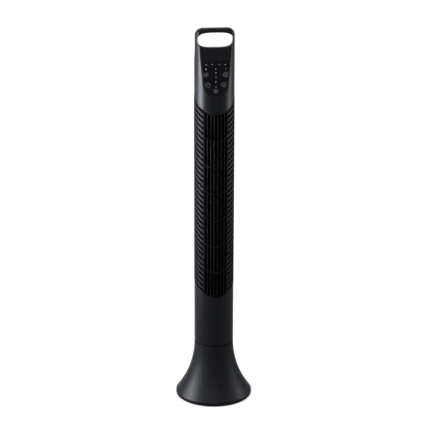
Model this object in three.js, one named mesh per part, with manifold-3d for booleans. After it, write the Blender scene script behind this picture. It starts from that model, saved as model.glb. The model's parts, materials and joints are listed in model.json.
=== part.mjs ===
// Tower fan: a slim oscillating column on a trumpet-shaped base, with a cross-flow fan wheel,
// a ribbed front casing, a sloping control pocket and a carrying handle cut through the head.
// Millimetres. +Z is up, the front faces -Y and the origin is on the floor under the column's axis.
// Angles round the column are measured from the front and grow towards +X.
import * as THREE from "three";
import { mergeVertices } from "three/addons/utils/BufferGeometryUtils.js";
import Module from "manifold-3d";

const wasm = await Module();
wasm.setup();

// ---------------------------------------------------------------- driving dimensions

const HEIGHT = 1170; // floor to the top of the handle
const BODY_R = 60; // column
const WALL = 2.6; // moulded walls
const GAP = 0.3; // between pieces that touch
const INSERT_R = BODY_R - WALL - 1; // round pieces held inside the column
const BASE_R = 117; // rim of the base
const SEAM_Z = 178; // top of the base; the column starts just above it
const SEAM_GAP = 1;

const RIM_LOW = 1.2; // the base ends in an upright rim
const RIM_TOP = 11;
const FLARE_OUT = BASE_R - BODY_R;
const FLARE_DOWN = SEAM_Z - RIM_TOP;
// One arc shapes the trumpet, upright where it meets the column.
const FLARE_R = (FLARE_OUT ** 2 + FLARE_DOWN ** 2) / (2 * FLARE_OUT);
const DECK_TOP = 171;
const DECK_THICK = 3;
const FOOT_R = 9;
const FOOT_RING = 100;
const FOOT_COUNT = 6;
const PLATE_LOW = 3;
const PLATE_THICK = 2.4;
const PLATE_R = 112;
const BASE_SCREW_RING = 99;
const BOSS_R = 4.5; // screw bosses inside the base
const BOSS_LOW = 6;
const BOSS_HIGH = 28;
const SCREW_CLEAR_R = 2.1; // clearance hole of a 3.6 mm screw
const SMALL_CLEAR_R = 1.8; // clearance hole of a 3 mm screw

const GLAND_Z = 22; // cord inlet, at the back of the base
const GLAND_R = 5.5;
const GLAND_FLANGE_R = 7.5;
const GLAND_IN = 95.5; // how far behind the axis it starts and ends
const GLAND_OUT = 116.5;
const CORD_HALF_HIGH = 1.8;
const CORD_HALF_GAP = 1; // the flat twin lead's two cores stand this far off its middle

const WEIGHT_IN = 45; // counterweight ring
const WEIGHT_OUT = 88;
const WEIGHT_THICK = 8;

const GEAR_MODULE = 1.5;
const SECTOR_TEETH = 40; // teeth that the full circle would have
const SECTOR_CUT = 15; // teeth that the sector really has
const PINION_TEETH = 10;
const GEAR_LOW = 174;
const GEAR_HIGH = 179.7;
const BACKLASH = 0.3;
const SPINDLE_R = 16;
const SPINDLE_BORE = 12;
const SPINDLE_LOW = 158;
const TURNTABLE_LOW = 180.2;
const TURNTABLE_THICK = 4;
const TURNTABLE_SCREW_RING = 50;
const HUB_R = SPINDLE_R + 8; // boss over the thrust washer
const BUSH_R = SPINDLE_R + 4;
const SWING_MOTOR_R = 14;
const SWING_MOTOR_HIGH = 19;
const MOTOR_EAR = 17.5; // screw holes of the swing motor, either side of its shaft
const PINION_Y = (GEAR_MODULE * (SECTOR_TEETH + PINION_TEETH)) / 2;
const PINION_SHAFT_R = 2.4;

const GRILLE_LOW = 336.6; // lower edge of the ribbed casing, at the front
const GRILLE_HIGH = 919; // its upper edge, at the front
const CASING_PROUD = 0.5; // how far the ribbed casing stands out of the column
const CASING_END = 105; // degrees: where the front casing meets the rear one
const RAIL_IN = 34; // degrees: upright rails beside the air outlet
const RAIL_OUT = 38;
const SLOT_END = 97;
const SLOT_ROWS = 35;
const SLOT_SHARE = 0.45; // slot height as a share of the pitch
const BORDER = 3;
const EDGE_ROUND = 35; // degrees: the edge is round up to here, and then climbs evenly
const EDGE_CLIMB = 0.57; // climb per radian past that, in column radii

const BAR_COUNT = 6;
const BAR_PITCH = 10;
const BAR_WIDE = 3.2;
const BAR_DEEP = 4.5;
const BAR_FACE_R = 58.6;
const RING_COUNT = 6;
const RING_HIGH = 1.8;
const RING_IN = 57.4;

const REAR_COLUMNS = 8;
const REAR_BANDS = 5;
const REAR_SLOT_WIDE = 6;
const REAR_MARGIN = 14;

const WHEEL_R = 40;
const WHEEL_LOW = 346;
const WHEEL_HIGH = 926;
const WHEEL_BLADES = 18;
const WHEEL_SECTIONS = 4;
const BLADE_THICK = 1.2;
const BLADE_DEEP = 10;
const BLADE_LEAN = 35; // degrees from the radius
const DISC_THICK = 1.6;
const SHAFT_R = 3;
const MOUNT_LOW = 322;
const TOP_PLATE_LOW = 932;
const PLATE = 3;
const SKIRT = 22; // depth of the motor mount's rim
const COLLAR_TOP = 1000; // upper end of the top plate's collar
const COLLAR_CUT_Y = -55; // middle of the gap in the collar, behind the pocket

const MOTOR_R = 38;
const MOTOR_LOW = 262;
const MOTOR_HIGH = 318;
const MOTOR_POST_RING = 26;

const POCKET_Z = 1046; // reference point of the sloping pocket floor
const POCKET_DEPTH_Y = -44.8; // its Y there
const POCKET_LEAN = Math.atan(0.1); // the floor leans back from the upright by this angle
const POCKET_ROUND_R = 38.6; // rounded lower end of the pocket
const POCKET_ROUND_Z = -35.2; // its centre, up the floor from the reference point
const PANEL_HALF_LOW = 34.6; // half-axes of the panel's rounded lower end
const PANEL_DROP = 36.6;
const PANEL_HALF_TOP = 41.6; // half its width at the top
const PANEL_TOP = 30;
const PANEL_THICK = 1.2;
const FLOOR_THICK = 3;
const FLOOR_LOW = 962; // the head is hollow right through below this height
const BUTTON_R = 8;
const BUTTON_PROUD = 0.7;
const BOARD_FRONT = 8; // behind the pocket floor
const BOARD_THICK = 1.6;

const HANDLE_LOW = 1116;
const HANDLE_HIGH = 1159;
const HANDLE_HALF = 51.5;
const HANDLE_POWER = 3.1; // exponent of the opening's superellipse
const TOP_CORNER_R = 24;
const BACK_Y = -7.5; // rear face of the handle
const COVE_R = 68; // hollow that lets a hand in behind the handle
const COVE_TOP = 1112;

const RAD = Math.PI / 180;

// ---------------------------------------------------------------- materials

function plastic(color, roughness) {
  return new THREE.MeshStandardMaterial({ color, roughness, metalness: 0 });
}

function metal(color, roughness) {
  return new THREE.MeshStandardMaterial({ color, roughness, metalness: 1 });
}

const MATERIAL = {
  body: plastic(0x17181c, 0.42),
  ribs: plastic(0x15161a, 0.46),
  inner: plastic(0x0b0b0c, 0.6),
  panel: plastic(0x08080a, 0.12),
  button: plastic(0x4a4b52, 0.3),
  lens: plastic(0xc9ccd2, 0.3),
  acetal: plastic(0xe6e3da, 0.4),
  board: plastic(0x1d4a2c, 0.4),
  rubber: plastic(0x141414, 0.85),
  steel: metal(0xa9abae, 0.35),
  bronze: metal(0x9c7338, 0.35),
};

// ---------------------------------------------------------------- solids

// A closed geometry as a solid: shared corners are merged and needle faces of zero area dropped.
function solid(geometry) {
  const bare = geometry.clone();
  bare.deleteAttribute("normal");
  bare.deleteAttribute("uv");
  const merged = mergeVertices(bare, 1e-4);
  const corners = [];
  const index = merged.index.array;
  for (let i = 0; i < index.length; i += 3) {
    const [a, b, c] = index.subarray(i, i + 3);
    if (a !== b && b !== c && c !== a) {
      corners.push(a, b, c);
    }
  }
  const vertProperties = Float32Array.from(merged.attributes.position.array);
  const triVerts = Uint32Array.from(corners);
  return new wasm.Manifold(new wasm.Mesh({ numProp: 3, vertProperties, triVerts }));
}

function joined(solids) {
  return solids.reduce((whole, next) => whole.add(next));
}

function cut(body, solids) {
  return solids.reduce((rest, next) => rest.subtract(next), body);
}

function geometryOf(body) {
  const mesh = body.getMesh();
  const geometry = new THREE.BufferGeometry();
  geometry.setAttribute("position", new THREE.BufferAttribute(mesh.vertProperties, 3));
  geometry.setIndex(new THREE.BufferAttribute(mesh.triVerts, 1));
  geometry.computeVertexNormals();
  return geometry;
}

// A solid turned from a closed outline of [radius, height] points, listed anticlockwise.
function turned(outline, segments) {
  const points = [...outline, outline[0]].map(([r, z]) => new THREE.Vector2(r, z));
  return solid(new THREE.LatheGeometry(points, segments).rotateX(Math.PI / 2));
}

function tube(innerR, outerR, low, high, segments = 32) {
  const outline = [
    [innerR, low],
    [outerR, low],
    [outerR, high],
    [innerR, high],
  ];
  return turned(outline, segments);
}

// An upright round bar; x and y place its axis.
function rod(radius, low, high, x = 0, y = 0, segments = 16) {
  const geometry = new THREE.CylinderGeometry(radius, radius, high - low, segments);
  return solid(geometry.rotateX(Math.PI / 2).translate(x, y, (low + high) / 2));
}

function block(wide, deep, high, x, y, z) {
  return solid(new THREE.BoxGeometry(wide, deep, high).translate(x, y, z));
}

// A solid of constant outline, from height low to height high.
function prism(points, low, high) {
  const shape = new THREE.Shape(points.map(([x, y]) => new THREE.Vector2(x, y)));
  const geometry = new THREE.ExtrudeGeometry(shape, { depth: high - low, bevelEnabled: false });
  return solid(geometry.translate(0, 0, low));
}

// The same, lying down: the outline is in X and Z, and the solid reaches from yFrom to yTo.
function facingPrism(points, yFrom, yTo) {
  const shape = new THREE.Shape(points.map(([x, z]) => new THREE.Vector2(x, z)));
  const geometry = new THREE.ExtrudeGeometry(shape, { depth: yTo - yFrom, bevelEnabled: false });
  return solid(geometry.rotateX(Math.PI / 2).translate(0, yTo, 0));
}

// The same, seen from the side: the outline is in Y and Z, and the solid spans the column.
function sidePrism(points) {
  const shape = new THREE.Shape(points.map(([y, z]) => new THREE.Vector2(y, z)));
  const depth = 4 * BODY_R;
  const geometry = new THREE.ExtrudeGeometry(shape, { depth, bevelEnabled: false });
  geometry.rotateX(Math.PI / 2).rotateZ(Math.PI / 2);
  return solid(geometry.translate(-depth / 2, 0, 0));
}

// A point at radius r and angle degrees from the front.
function around(r, degrees, z) {
  return [r * Math.sin(degrees * RAD), -r * Math.cos(degrees * RAD), z];
}

// A curved wall between two radii, over a list of angles; low and high give its edges per angle.
function wall({ innerR, outerR, angles, low, high, closed = false }) {
  const positions = [];
  const faces = [];
  for (const angle of angles) {
    positions.push(...around(innerR, angle, low(angle)), ...around(outerR, angle, low(angle)));
    positions.push(...around(outerR, angle, high(angle)), ...around(innerR, angle, high(angle)));
  }
  const quad = (a, b, c, d) => faces.push(a, b, c, a, c, d);
  const last = closed ? angles.length : angles.length - 1;
  for (let i = 0; i < last; i += 1) {
    const here = 4 * i;
    const next = 4 * ((i + 1) % angles.length);
    quad(here + 1, next + 1, next + 2, here + 2);
    quad(here, here + 3, next + 3, next);
    quad(here, next, next + 1, here + 1);
    quad(here + 3, here + 2, next + 2, next + 3);
  }
  if (!closed) {
    const end = 4 * last;
    quad(0, 1, 2, 3);
    quad(end + 3, end + 2, end + 1, end);
  }
  const geometry = new THREE.BufferGeometry();
  geometry.setAttribute("position", new THREE.Float32BufferAttribute(positions, 3));
  geometry.setIndex(faces);
  return solid(geometry);
}

// Evenly spaced values from first to last, both included.
function steps(first, last, count) {
  return Array.from({ length: count + 1 }, (_, i) => first + ((last - first) * i) / count);
}

// Points of an arc about (x, y), from one angle to another in degrees.
function arc(x, y, radius, from, to, count) {
  return steps(from, to, count).map((a) => [
    x + radius * Math.cos(a * RAD),
    y + radius * Math.sin(a * RAD),
  ]);
}

// A screw: shank and pan head, pointing up from height low.
function screw(shankR, headR, headHigh, length) {
  const outline = [
    [0, -headHigh],
    [headR * 0.8, -headHigh],
    [headR, -headHigh * 0.4],
    [headR, 0],
    [shankR, 0],
    [shankR, length],
    [0, length],
  ];
  return turned(outline, 8);
}

// ---------------------------------------------------------------- the column's curved edge

// Height of a casing edge or rib over its lowest point, which is at the front.
function climb(degrees) {
  const a = Math.min(Math.abs(degrees), CASING_END);
  const round = Math.min(a, EDGE_ROUND) * RAD;
  const past = Math.max(a - EDGE_ROUND, 0) * RAD;
  return BODY_R * (1 - Math.cos(round) + EDGE_CLIMB * past);
}

const OUTLET_ANGLES = steps(-RAIL_IN, RAIL_IN, 6);
const SLOT_ANGLES = steps(RAIL_OUT, SLOT_END, 3);
const FRONT_ANGLES = [
  -CASING_END,
  ...SLOT_ANGLES.map((a) => -a).reverse(),
  ...OUTLET_ANGLES,
  ...SLOT_ANGLES,
  CASING_END,
];
const REAR_STEP = (360 - 2 * CASING_END) / REAR_COLUMNS;
const REAR_ANGLES = steps(CASING_END, 360 - CASING_END, REAR_COLUMNS);
const ALL_ANGLES = [...FRONT_ANGLES, ...REAR_ANGLES.slice(1, -1)];

function folded(degrees) {
  return degrees > 180 ? degrees - 360 : degrees;
}

const lowEdge = (degrees) => GRILLE_LOW + climb(folded(degrees));
const highEdge = (degrees) => GRILLE_HIGH + climb(folded(degrees));

// ---------------------------------------------------------------- base

function flare(radius, fromZ, toZ, count) {
  const centre = BODY_R + FLARE_R;
  const angle = (z) => Math.asin((SEAM_Z - z) / radius);
  return steps(angle(fromZ), angle(toZ), count).map((t) => [
    centre - radius * Math.cos(t),
    SEAM_Z - radius * Math.sin(t),
  ]);
}

function baseScrewPlaces() {
  return [30, 150, 270].map((a) => around(BASE_SCREW_RING, a, 0));
}

// A round bar along Y at the height of the cord inlet.
function glandRod(radius, from, to, sides) {
  const geometry = new THREE.CylinderGeometry(radius, radius, to - from, sides);
  return solid(geometry.translate(0, (from + to) / 2, GLAND_Z));
}

function baseShell() {
  const inner = BODY_R - WALL;
  const outline = [
    [BASE_R, RIM_LOW],
    ...flare(FLARE_R, RIM_TOP, SEAM_Z, 6).map(([r, z]) => [Math.min(r, BASE_R), z]),
    [inner, SEAM_Z],
    [inner, DECK_TOP],
    [BUSH_R, DECK_TOP],
    [BUSH_R, DECK_TOP - DECK_THICK],
    ...flare(FLARE_R + WALL, DECK_TOP - DECK_THICK, RIM_TOP - 1, 4),
    [PLATE_R + 2.4, RIM_LOW],
  ];
  const bosses = baseScrewPlaces().map(([x, y]) => rod(BOSS_R, BOSS_LOW, BOSS_HIGH, x, y, 12));
  const holes = [
    ...baseScrewPlaces().map(([x, y]) => rod(SCREW_CLEAR_R, 5, 22, x, y, 10)),
    ...[-MOTOR_EAR, MOTOR_EAR].map((x) => rod(SMALL_CLEAR_R, 160, 180, x, PINION_Y, 10)),
    rod(6, 160, 180, 0, PINION_Y, 16),
    glandRod(GLAND_R + GAP, 97, 125, 16),
  ];
  return cut(joined([turned(outline, 32), ...bosses]), holes);
}

function basePlate() {
  const plate = rod(PLATE_R, PLATE_LOW, PLATE_LOW + PLATE_THICK, 0, 0, 32);
  const holes = baseScrewPlaces().map(([x, y]) => rod(SCREW_CLEAR_R, 0, 10, x, y, 10));
  return cut(plate, holes);
}

function counterweight() {
  const low = PLATE_LOW + PLATE_THICK + GAP;
  return tube(WEIGHT_IN, WEIGHT_OUT, low, low + WEIGHT_THICK);
}

function foot() {
  const high = PLATE_LOW - GAP;
  const outline = [
    [0, 0],
    [FOOT_R - 0.8, 0],
    [FOOT_R, 0.8],
    [FOOT_R, high],
    [0, high],
  ];
  return turned(outline, 16);
}

// The inlet for a flat twin lead: a rubber sleeve with an oval bore.
function cordGland() {
  const sleeve = glandRod(GLAND_R, GLAND_IN + 1, GLAND_OUT, 16);
  const flange = glandRod(GLAND_FLANGE_R, GLAND_IN, GLAND_IN + 3.5, 16);
  const end = (side) => {
    const middle = side * 90;
    return arc(side * CORD_HALF_GAP, GLAND_Z, CORD_HALF_HIGH, middle - 90, middle + 90, 6);
  };
  const bore = facingPrism([...end(1), ...end(-1)], GLAND_IN - 10, GLAND_OUT + 10);
  return cut(joined([sleeve, flange]), [bore]);
}

function pivotBush() {
  const inner = SPINDLE_R + 0.35;
  const flangeTop = DECK_TOP - DECK_THICK - GAP;
  const outline = [
    [inner, flangeTop - 2.7],
    [BUSH_R + 3, flangeTop - 2.7],
    [BUSH_R + 3, flangeTop],
    [BUSH_R - GAP, flangeTop],
    [BUSH_R - GAP, DECK_TOP],
    [inner, DECK_TOP],
  ];
  return turned(outline, 24);
}

function thrustWasher() {
  const low = DECK_TOP + GAP;
  return tube(SPINDLE_R + 1.5, HUB_R, low, low + 0.9, 24);
}

function swingMotor() {
  const top = DECK_TOP - DECK_THICK - GAP;
  const can = rod(SWING_MOTOR_R, top - SWING_MOTOR_HIGH, top, 0, PINION_Y, 24);
  const boss = rod(4.5, top - 1, top + 3, 0, PINION_Y, 16);
  const ears = block(2 * MOTOR_EAR + 8, 7, 2, 0, PINION_Y, top - 1);
  const holes = [-MOTOR_EAR, MOTOR_EAR].map((x) => rod(SMALL_CLEAR_R, 150, 180, x, PINION_Y, 10));
  const bore = rod(PINION_SHAFT_R + GAP, top - 12, top + 10, 0, PINION_Y, 12);
  return cut(joined([can, boss, ears]), [bore, ...holes]);
}

// ---------------------------------------------------------------- swing gears

// Outline of a toothed rim with involute flanks; tooth 0 is centred on the angle given, in degrees.
function toothOutline({ teeth, from, to, centre, backlash }) {
  const pitchR = (GEAR_MODULE * teeth) / 2;
  const pressure = 20 * RAD;
  const baseR = pitchR * Math.cos(pressure);
  const tipR = pitchR + 0.9 * GEAR_MODULE;
  const rootR = pitchR - 1.2 * GEAR_MODULE;
  const involute = (r) => {
    const a = Math.acos(Math.min(1, baseR / r));
    return Math.tan(a) - a;
  };
  const half = Math.PI / (2 * teeth) - backlash / 2 / pitchR + involute(pitchR);
  const flankR = steps(Math.max(baseR, rootR), tipR, 2);
  const points = [];
  for (let k = from; k <= to; k += 1) {
    const middle = centre * RAD + (k * 2 * Math.PI) / teeth;
    const side = (r, sign) => {
      const a = middle + sign * (half - involute(r));
      return [r * Math.cos(a), r * Math.sin(a)];
    };
    const foot = (sign) => {
      const a = middle + sign * half;
      return [rootR * Math.cos(a), rootR * Math.sin(a)];
    };
    points.push(foot(-1), ...flankR.map((r) => side(r, -1)));
    points.push(...flankR.map((r) => side(r, 1)).reverse(), foot(1));
  }
  return points;
}

function sectorGear() {
  const reach = (SECTOR_CUT - 1) / 2;
  const rim = toothOutline({
    teeth: SECTOR_TEETH,
    from: -reach,
    to: reach,
    centre: 90,
    backlash: BACKLASH,
  });
  const halfAngle = (reach + 0.5) * (360 / SECTOR_TEETH);
  const back = arc(0, 0, HUB_R + GAP, 90 + halfAngle, 90 - halfAngle, 10);
  return prism([...rim, ...back], GEAR_LOW, GEAR_HIGH);
}

// The pinion's tooth gap faces the sector's middle tooth.
function swingPinion() {
  const rim = toothOutline({
    teeth: PINION_TEETH,
    from: 0,
    to: PINION_TEETH - 1,
    centre: 270 + 180 / PINION_TEETH,
    backlash: BACKLASH,
  });
  const gear = prism(rim, GEAR_LOW, GEAR_HIGH - GAP);
  return cut(gear, [rod(PINION_SHAFT_R + GAP, 160, 190, 0, 0, 12)]);
}

// ---------------------------------------------------------------- tower frame

function turntableScrewPlaces() {
  return [90, 210, 330].map((a) => around(TURNTABLE_SCREW_RING, a, 0));
}

const TURNTABLE_TOP = TURNTABLE_LOW + TURNTABLE_THICK;
const LEDGE_THICK = 2.5;

function turntable() {
  const hubLow = DECK_TOP + 1.5;
  const outline = [
    [SPINDLE_BORE, SPINDLE_LOW],
    [SPINDLE_R, SPINDLE_LOW],
    [SPINDLE_R, hubLow],
    [HUB_R, hubLow],
    [HUB_R, TURNTABLE_LOW],
    [INSERT_R, TURNTABLE_LOW],
    [INSERT_R, TURNTABLE_TOP],
    [SPINDLE_BORE, TURNTABLE_TOP],
  ];
  const holes = turntableScrewPlaces().map(([x, y]) => rod(SCREW_CLEAR_R, 170, 190, x, y, 10));
  return cut(turned(outline, 28), holes);
}

function retainingNut() {
  const top = DECK_TOP - DECK_THICK - GAP - 2.7 - 0.5;
  return tube(SPINDLE_R + GAP, SPINDLE_R + 6, top - 5, top, 24);
}

function lowerHousing() {
  const skin = wall({
    innerR: BODY_R - WALL,
    outerR: BODY_R,
    angles: ALL_ANGLES,
    low: () => SEAM_Z + SEAM_GAP,
    high: (a) => lowEdge(a) - GAP,
    closed: true,
  });
  const ledgeLow = TURNTABLE_TOP + GAP;
  const ledge = wall({
    innerR: BODY_R - 14,
    outerR: BODY_R - WALL / 2,
    angles: ALL_ANGLES,
    low: () => ledgeLow,
    high: () => ledgeLow + LEDGE_THICK,
    closed: true,
  });
  const holes = turntableScrewPlaces().map(([x, y]) => rod(SCREW_CLEAR_R, 180, 200, x, y, 10));
  return cut(joined([skin, ledge]), holes);
}

function motorMount() {
  const rim = INSERT_R;
  const outline = [
    [12, MOUNT_LOW],
    [rim - WALL, MOUNT_LOW],
    [rim - WALL, MOUNT_LOW - SKIRT],
    [rim, MOUNT_LOW - SKIRT],
    [rim, MOUNT_LOW + PLATE],
    [12, MOUNT_LOW + PLATE],
  ];
  return turned(outline, 28);
}

function fanMotor() {
  const outline = [
    [0, MOTOR_LOW - 6],
    [10, MOTOR_LOW - 6],
    [12, MOTOR_LOW],
    [MOTOR_R - 8, MOTOR_LOW],
    [MOTOR_R, MOTOR_LOW + 8],
    [MOTOR_R, MOTOR_HIGH - 8],
    [MOTOR_R - 8, MOTOR_HIGH],
    [11, MOTOR_HIGH],
    [11, MOUNT_LOW + PLATE + 2],
    [SHAFT_R + GAP, MOUNT_LOW + PLATE + 2],
    [SHAFT_R + GAP, MOTOR_LOW + 20],
    [0, MOTOR_LOW + 20],
  ];
  const can = turned(outline, 20);
  const posts = [0, 120, 240].map((a) => {
    const [x, y] = around(MOTOR_POST_RING, a, 0);
    return rod(4, MOTOR_HIGH - 2, MOUNT_LOW - GAP, x, y, 10);
  });
  return joined([can, ...posts]);
}

function motorCapacitor() {
  return block(32, 14, 24, 0, 34, 222);
}

function topPlate() {
  const rim = INSERT_R;
  const outline = [
    [9, TOP_PLATE_LOW],
    [rim, TOP_PLATE_LOW],
    [rim, COLLAR_TOP],
    [rim - WALL, COLLAR_TOP],
    [rim - WALL, TOP_PLATE_LOW + PLATE],
    [9, TOP_PLATE_LOW + PLATE],
  ];
  const body = turned(outline, 28);
  const holes = rearScrewPlaces().map(([angle, z]) => spoke(SCREW_CLEAR_R, 48, 60, angle, z));
  const opening = block(96, 40, 60, 0, COLLAR_CUT_Y, COLLAR_TOP - 10);
  return cut(body, [opening, ...holes]);
}

function topBearing() {
  const low = TOP_PLATE_LOW - 4;
  const outline = [
    [SHAFT_R + GAP, low],
    [12, low],
    [12, TOP_PLATE_LOW - GAP],
    [9 - GAP, TOP_PLATE_LOW - GAP],
    [9 - GAP, TOP_PLATE_LOW + 5],
    [SHAFT_R + GAP, TOP_PLATE_LOW + 5],
  ];
  return turned(outline, 20);
}

// ---------------------------------------------------------------- casings

const CASING_R = BODY_R + CASING_PROUD;
const CASING_IN = BODY_R - WALL + 0.2;
const SLOT_PITCH = (GRILLE_HIGH - GRILLE_LOW) / SLOT_ROWS;

function frontCasing() {
  const skin = wall({
    innerR: CASING_IN,
    outerR: CASING_R,
    angles: FRONT_ANGLES,
    low: lowEdge,
    high: highEdge,
  });
  const outlet = wall({
    innerR: CASING_IN - 1,
    outerR: CASING_R + 1,
    angles: OUTLET_ANGLES,
    low: (a) => lowEdge(a) + BORDER,
    high: (a) => highEdge(a) - BORDER,
  });
  const slots = [];
  for (let row = 0; row < SLOT_ROWS; row += 1) {
    const middle = (row + 0.5) * SLOT_PITCH;
    const half = (SLOT_PITCH * SLOT_SHARE) / 2;
    for (const angles of [SLOT_ANGLES, SLOT_ANGLES.map((a) => -a).reverse()]) {
      const slot = wall({
        innerR: CASING_IN - 1,
        outerR: CASING_R + 1,
        angles,
        low: (a) => lowEdge(a) + middle - half,
        high: (a) => lowEdge(a) + middle + half,
      });
      slots.push(slot);
    }
  }
  return cut(skin, [outlet, ...slots]);
}

// Upright bars behind curved rings; each ring carries on the line of a rib.
function frontGrille() {
  const bars = [];
  for (let i = 0; i < BAR_COUNT; i += 1) {
    const x = (i - (BAR_COUNT - 1) / 2) * BAR_PITCH;
    const y = -Math.sqrt(BAR_FACE_R ** 2 - x ** 2) + BAR_DEEP / 2;
    const outer = Math.asin((Math.abs(x) + BAR_WIDE / 2) / (BAR_FACE_R - BAR_DEEP)) / RAD;
    const inner = Math.asin((Math.abs(x) - BAR_WIDE / 2) / BAR_FACE_R) / RAD;
    const low = lowEdge(outer) + BORDER + GAP;
    const high = highEdge(inner) - BORDER - GAP;
    bars.push(block(BAR_WIDE, BAR_DEEP, high - low, x, y, (low + high) / 2));
  }
  const rings = [];
  for (let i = 1; i <= RING_COUNT; i += 1) {
    const middle = (i * SLOT_ROWS * SLOT_PITCH) / (RING_COUNT + 1);
    const ring = wall({
      innerR: RING_IN,
      outerR: CASING_R,
      angles: steps(-RAIL_IN + 0.4, RAIL_IN - 0.4, 6),
      low: (a) => lowEdge(a) + middle - RING_HIGH / 2,
      high: (a) => lowEdge(a) + middle + RING_HIGH / 2,
    });
    rings.push(ring);
  }
  return joined([...bars, ...rings]);
}

const REAR_LOW = lowEdge(CASING_END);
const REAR_HIGH = highEdge(CASING_END);
const REAR_SEAM = 0.3; // degrees between the two casings

function rearScrewPlaces() {
  const low = REAR_LOW + REAR_MARGIN / 2;
  const high = REAR_HIGH - REAR_MARGIN / 2;
  return [
    [150, low],
    [210, low],
    [150, high],
    [210, high],
  ];
}

// A round bar along the radius at an angle, between two radii.
function spoke(radius, fromR, toR, degrees, z, sides = 10) {
  const geometry = new THREE.CylinderGeometry(radius, radius, toR - fromR, sides);
  geometry.translate(0, -(fromR + toR) / 2, 0).rotateZ(degrees * RAD).translate(0, 0, z);
  return solid(geometry);
}

function rearCasing() {
  const angles = [...REAR_ANGLES];
  angles[0] += REAR_SEAM;
  angles[REAR_COLUMNS] -= REAR_SEAM;
  const skin = wall({
    innerR: CASING_IN,
    outerR: CASING_R,
    angles,
    low: () => REAR_LOW,
    high: () => REAR_HIGH,
  });
  const bandHigh = (REAR_HIGH - REAR_LOW - REAR_MARGIN) / REAR_BANDS;
  const slotHigh = bandHigh - REAR_MARGIN;
  const cuts = rearScrewPlaces().map(([angle, z]) => spoke(SCREW_CLEAR_R, 50, 70, angle, z));
  for (let band = 0; band < REAR_BANDS; band += 1) {
    const z = REAR_LOW + REAR_MARGIN + bandHigh * band + slotHigh / 2;
    for (let column = 0; column < REAR_COLUMNS; column += 1) {
      const angle = CASING_END + REAR_STEP * (column + 0.5);
      const slot = new THREE.BoxGeometry(REAR_SLOT_WIDE, 20, slotHigh);
      slot.translate(0, -BODY_R, 0).rotateZ(angle * RAD).translate(0, 0, z);
      cuts.push(solid(slot));
    }
  }
  return cut(skin, cuts);
}

// ---------------------------------------------------------------- air path

// A guide wall of even thickness whose distance from the axis changes along its sweep.
function guide(from, to, fromR, toR, count) {
  const half = 1;
  const at = (a) => fromR + ((toR - fromR) * (a - from)) / (to - from);
  const angles = steps(from, to, count);
  const outside = angles.map((a) => around(at(a) + half, a, 0).slice(0, 2));
  const inside = angles.map((a) => around(at(a) - half, a, 0).slice(0, 2));
  return [...outside, ...inside.reverse()];
}

const AIR_LOW = MOUNT_LOW + PLATE + GAP;
const AIR_HIGH = TOP_PLATE_LOW - GAP;

// The scroll's back end turns out to the casing, so that no air passes behind it.
function airScroll() {
  const legs = [guide(40, 125, 55.4, 44, 8), guide(108, 125, 56, 44, 2)];
  return joined(legs.map((outline) => prism(outline, AIR_LOW, AIR_HIGH)));
}

// The tongue is a V: one leg faces the outlet and the other the intake.
function airTongue() {
  const legs = [guide(-64, -40, 43.6, 55.4, 4), guide(-88, -62.5, 55.4, 43, 4)];
  return joined(legs.map((outline) => prism(outline, AIR_LOW, AIR_HIGH)));
}

function fanWheel() {
  const discs = steps(WHEEL_LOW, WHEEL_HIGH - DISC_THICK, WHEEL_SECTIONS).map((z) =>
    rod(WHEEL_R, z, z + DISC_THICK, 0, 0, 20),
  );
  const length = WHEEL_HIGH - WHEEL_LOW - DISC_THICK;
  const blades = [];
  for (let i = 0; i < WHEEL_BLADES; i += 1) {
    const blade = new THREE.BoxGeometry(BLADE_THICK, BLADE_DEEP, length);
    blade.rotateZ(BLADE_LEAN * RAD).translate(0, -(WHEEL_R - 5.4), 0);
    blade.rotateZ(((i + 0.5) * 2 * Math.PI) / WHEEL_BLADES);
    blades.push(solid(blade.translate(0, 0, (WHEEL_LOW + WHEEL_HIGH) / 2)));
  }
  const stub = rod(SHAFT_R, WHEEL_HIGH - DISC_THICK, TOP_PLATE_LOW + 9, 0, 0, 12);
  const socket = rod(9.3, WHEEL_LOW - 5, WHEEL_LOW + 12, 0, 0, 16);
  return cut(joined([...discs, ...blades, stub]), [socket]);
}

function wheelHub() {
  return tube(SHAFT_R + GAP, 9, WHEEL_LOW - 8, WHEEL_LOW + 10, 16);
}

function motorShaft() {
  return rod(SHAFT_R, MOTOR_LOW + 24, WHEEL_LOW + 9, 0, 0, 12);
}

// ---------------------------------------------------------------- head

// Moves a solid from the pocket floor's own frame to the column's.
const POCKET_FRAME = new THREE.Matrix4()
  .makeTranslation(0, POCKET_DEPTH_Y, POCKET_Z)
  .multiply(new THREE.Matrix4().makeRotationX(-POCKET_LEAN));

function inPocket(body) {
  return body.transform([...POCKET_FRAME.elements]);
}

function pocketY(z) {
  return POCKET_DEPTH_Y + (z - POCKET_Z) * Math.tan(POCKET_LEAN);
}

// The panel's outline: a rounded lower end and sides that spread a little towards the top.
function panelOutline(grow) {
  const count = 12;
  const lower = steps(180, 360, count).map((a) => [
    (PANEL_HALF_LOW + grow) * Math.cos(a * RAD),
    POCKET_ROUND_Z + (PANEL_DROP + grow) * Math.sin(a * RAD),
  ]);
  const half = PANEL_HALF_TOP + grow;
  const top = PANEL_TOP + grow;
  return [...lower, [half, top], [-half, top]];
}

// Push buttons: place on the pocket floor, across and up from its reference point.
const BUTTONS = {
  button_speed: [-28.8, -9.5],
  button_timer: [28.8, -9.5],
  button_swing: [-23.6, -39.2],
  button_mode: [23.6, -39.2],
  button_power: [0, -58.8],
};

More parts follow.
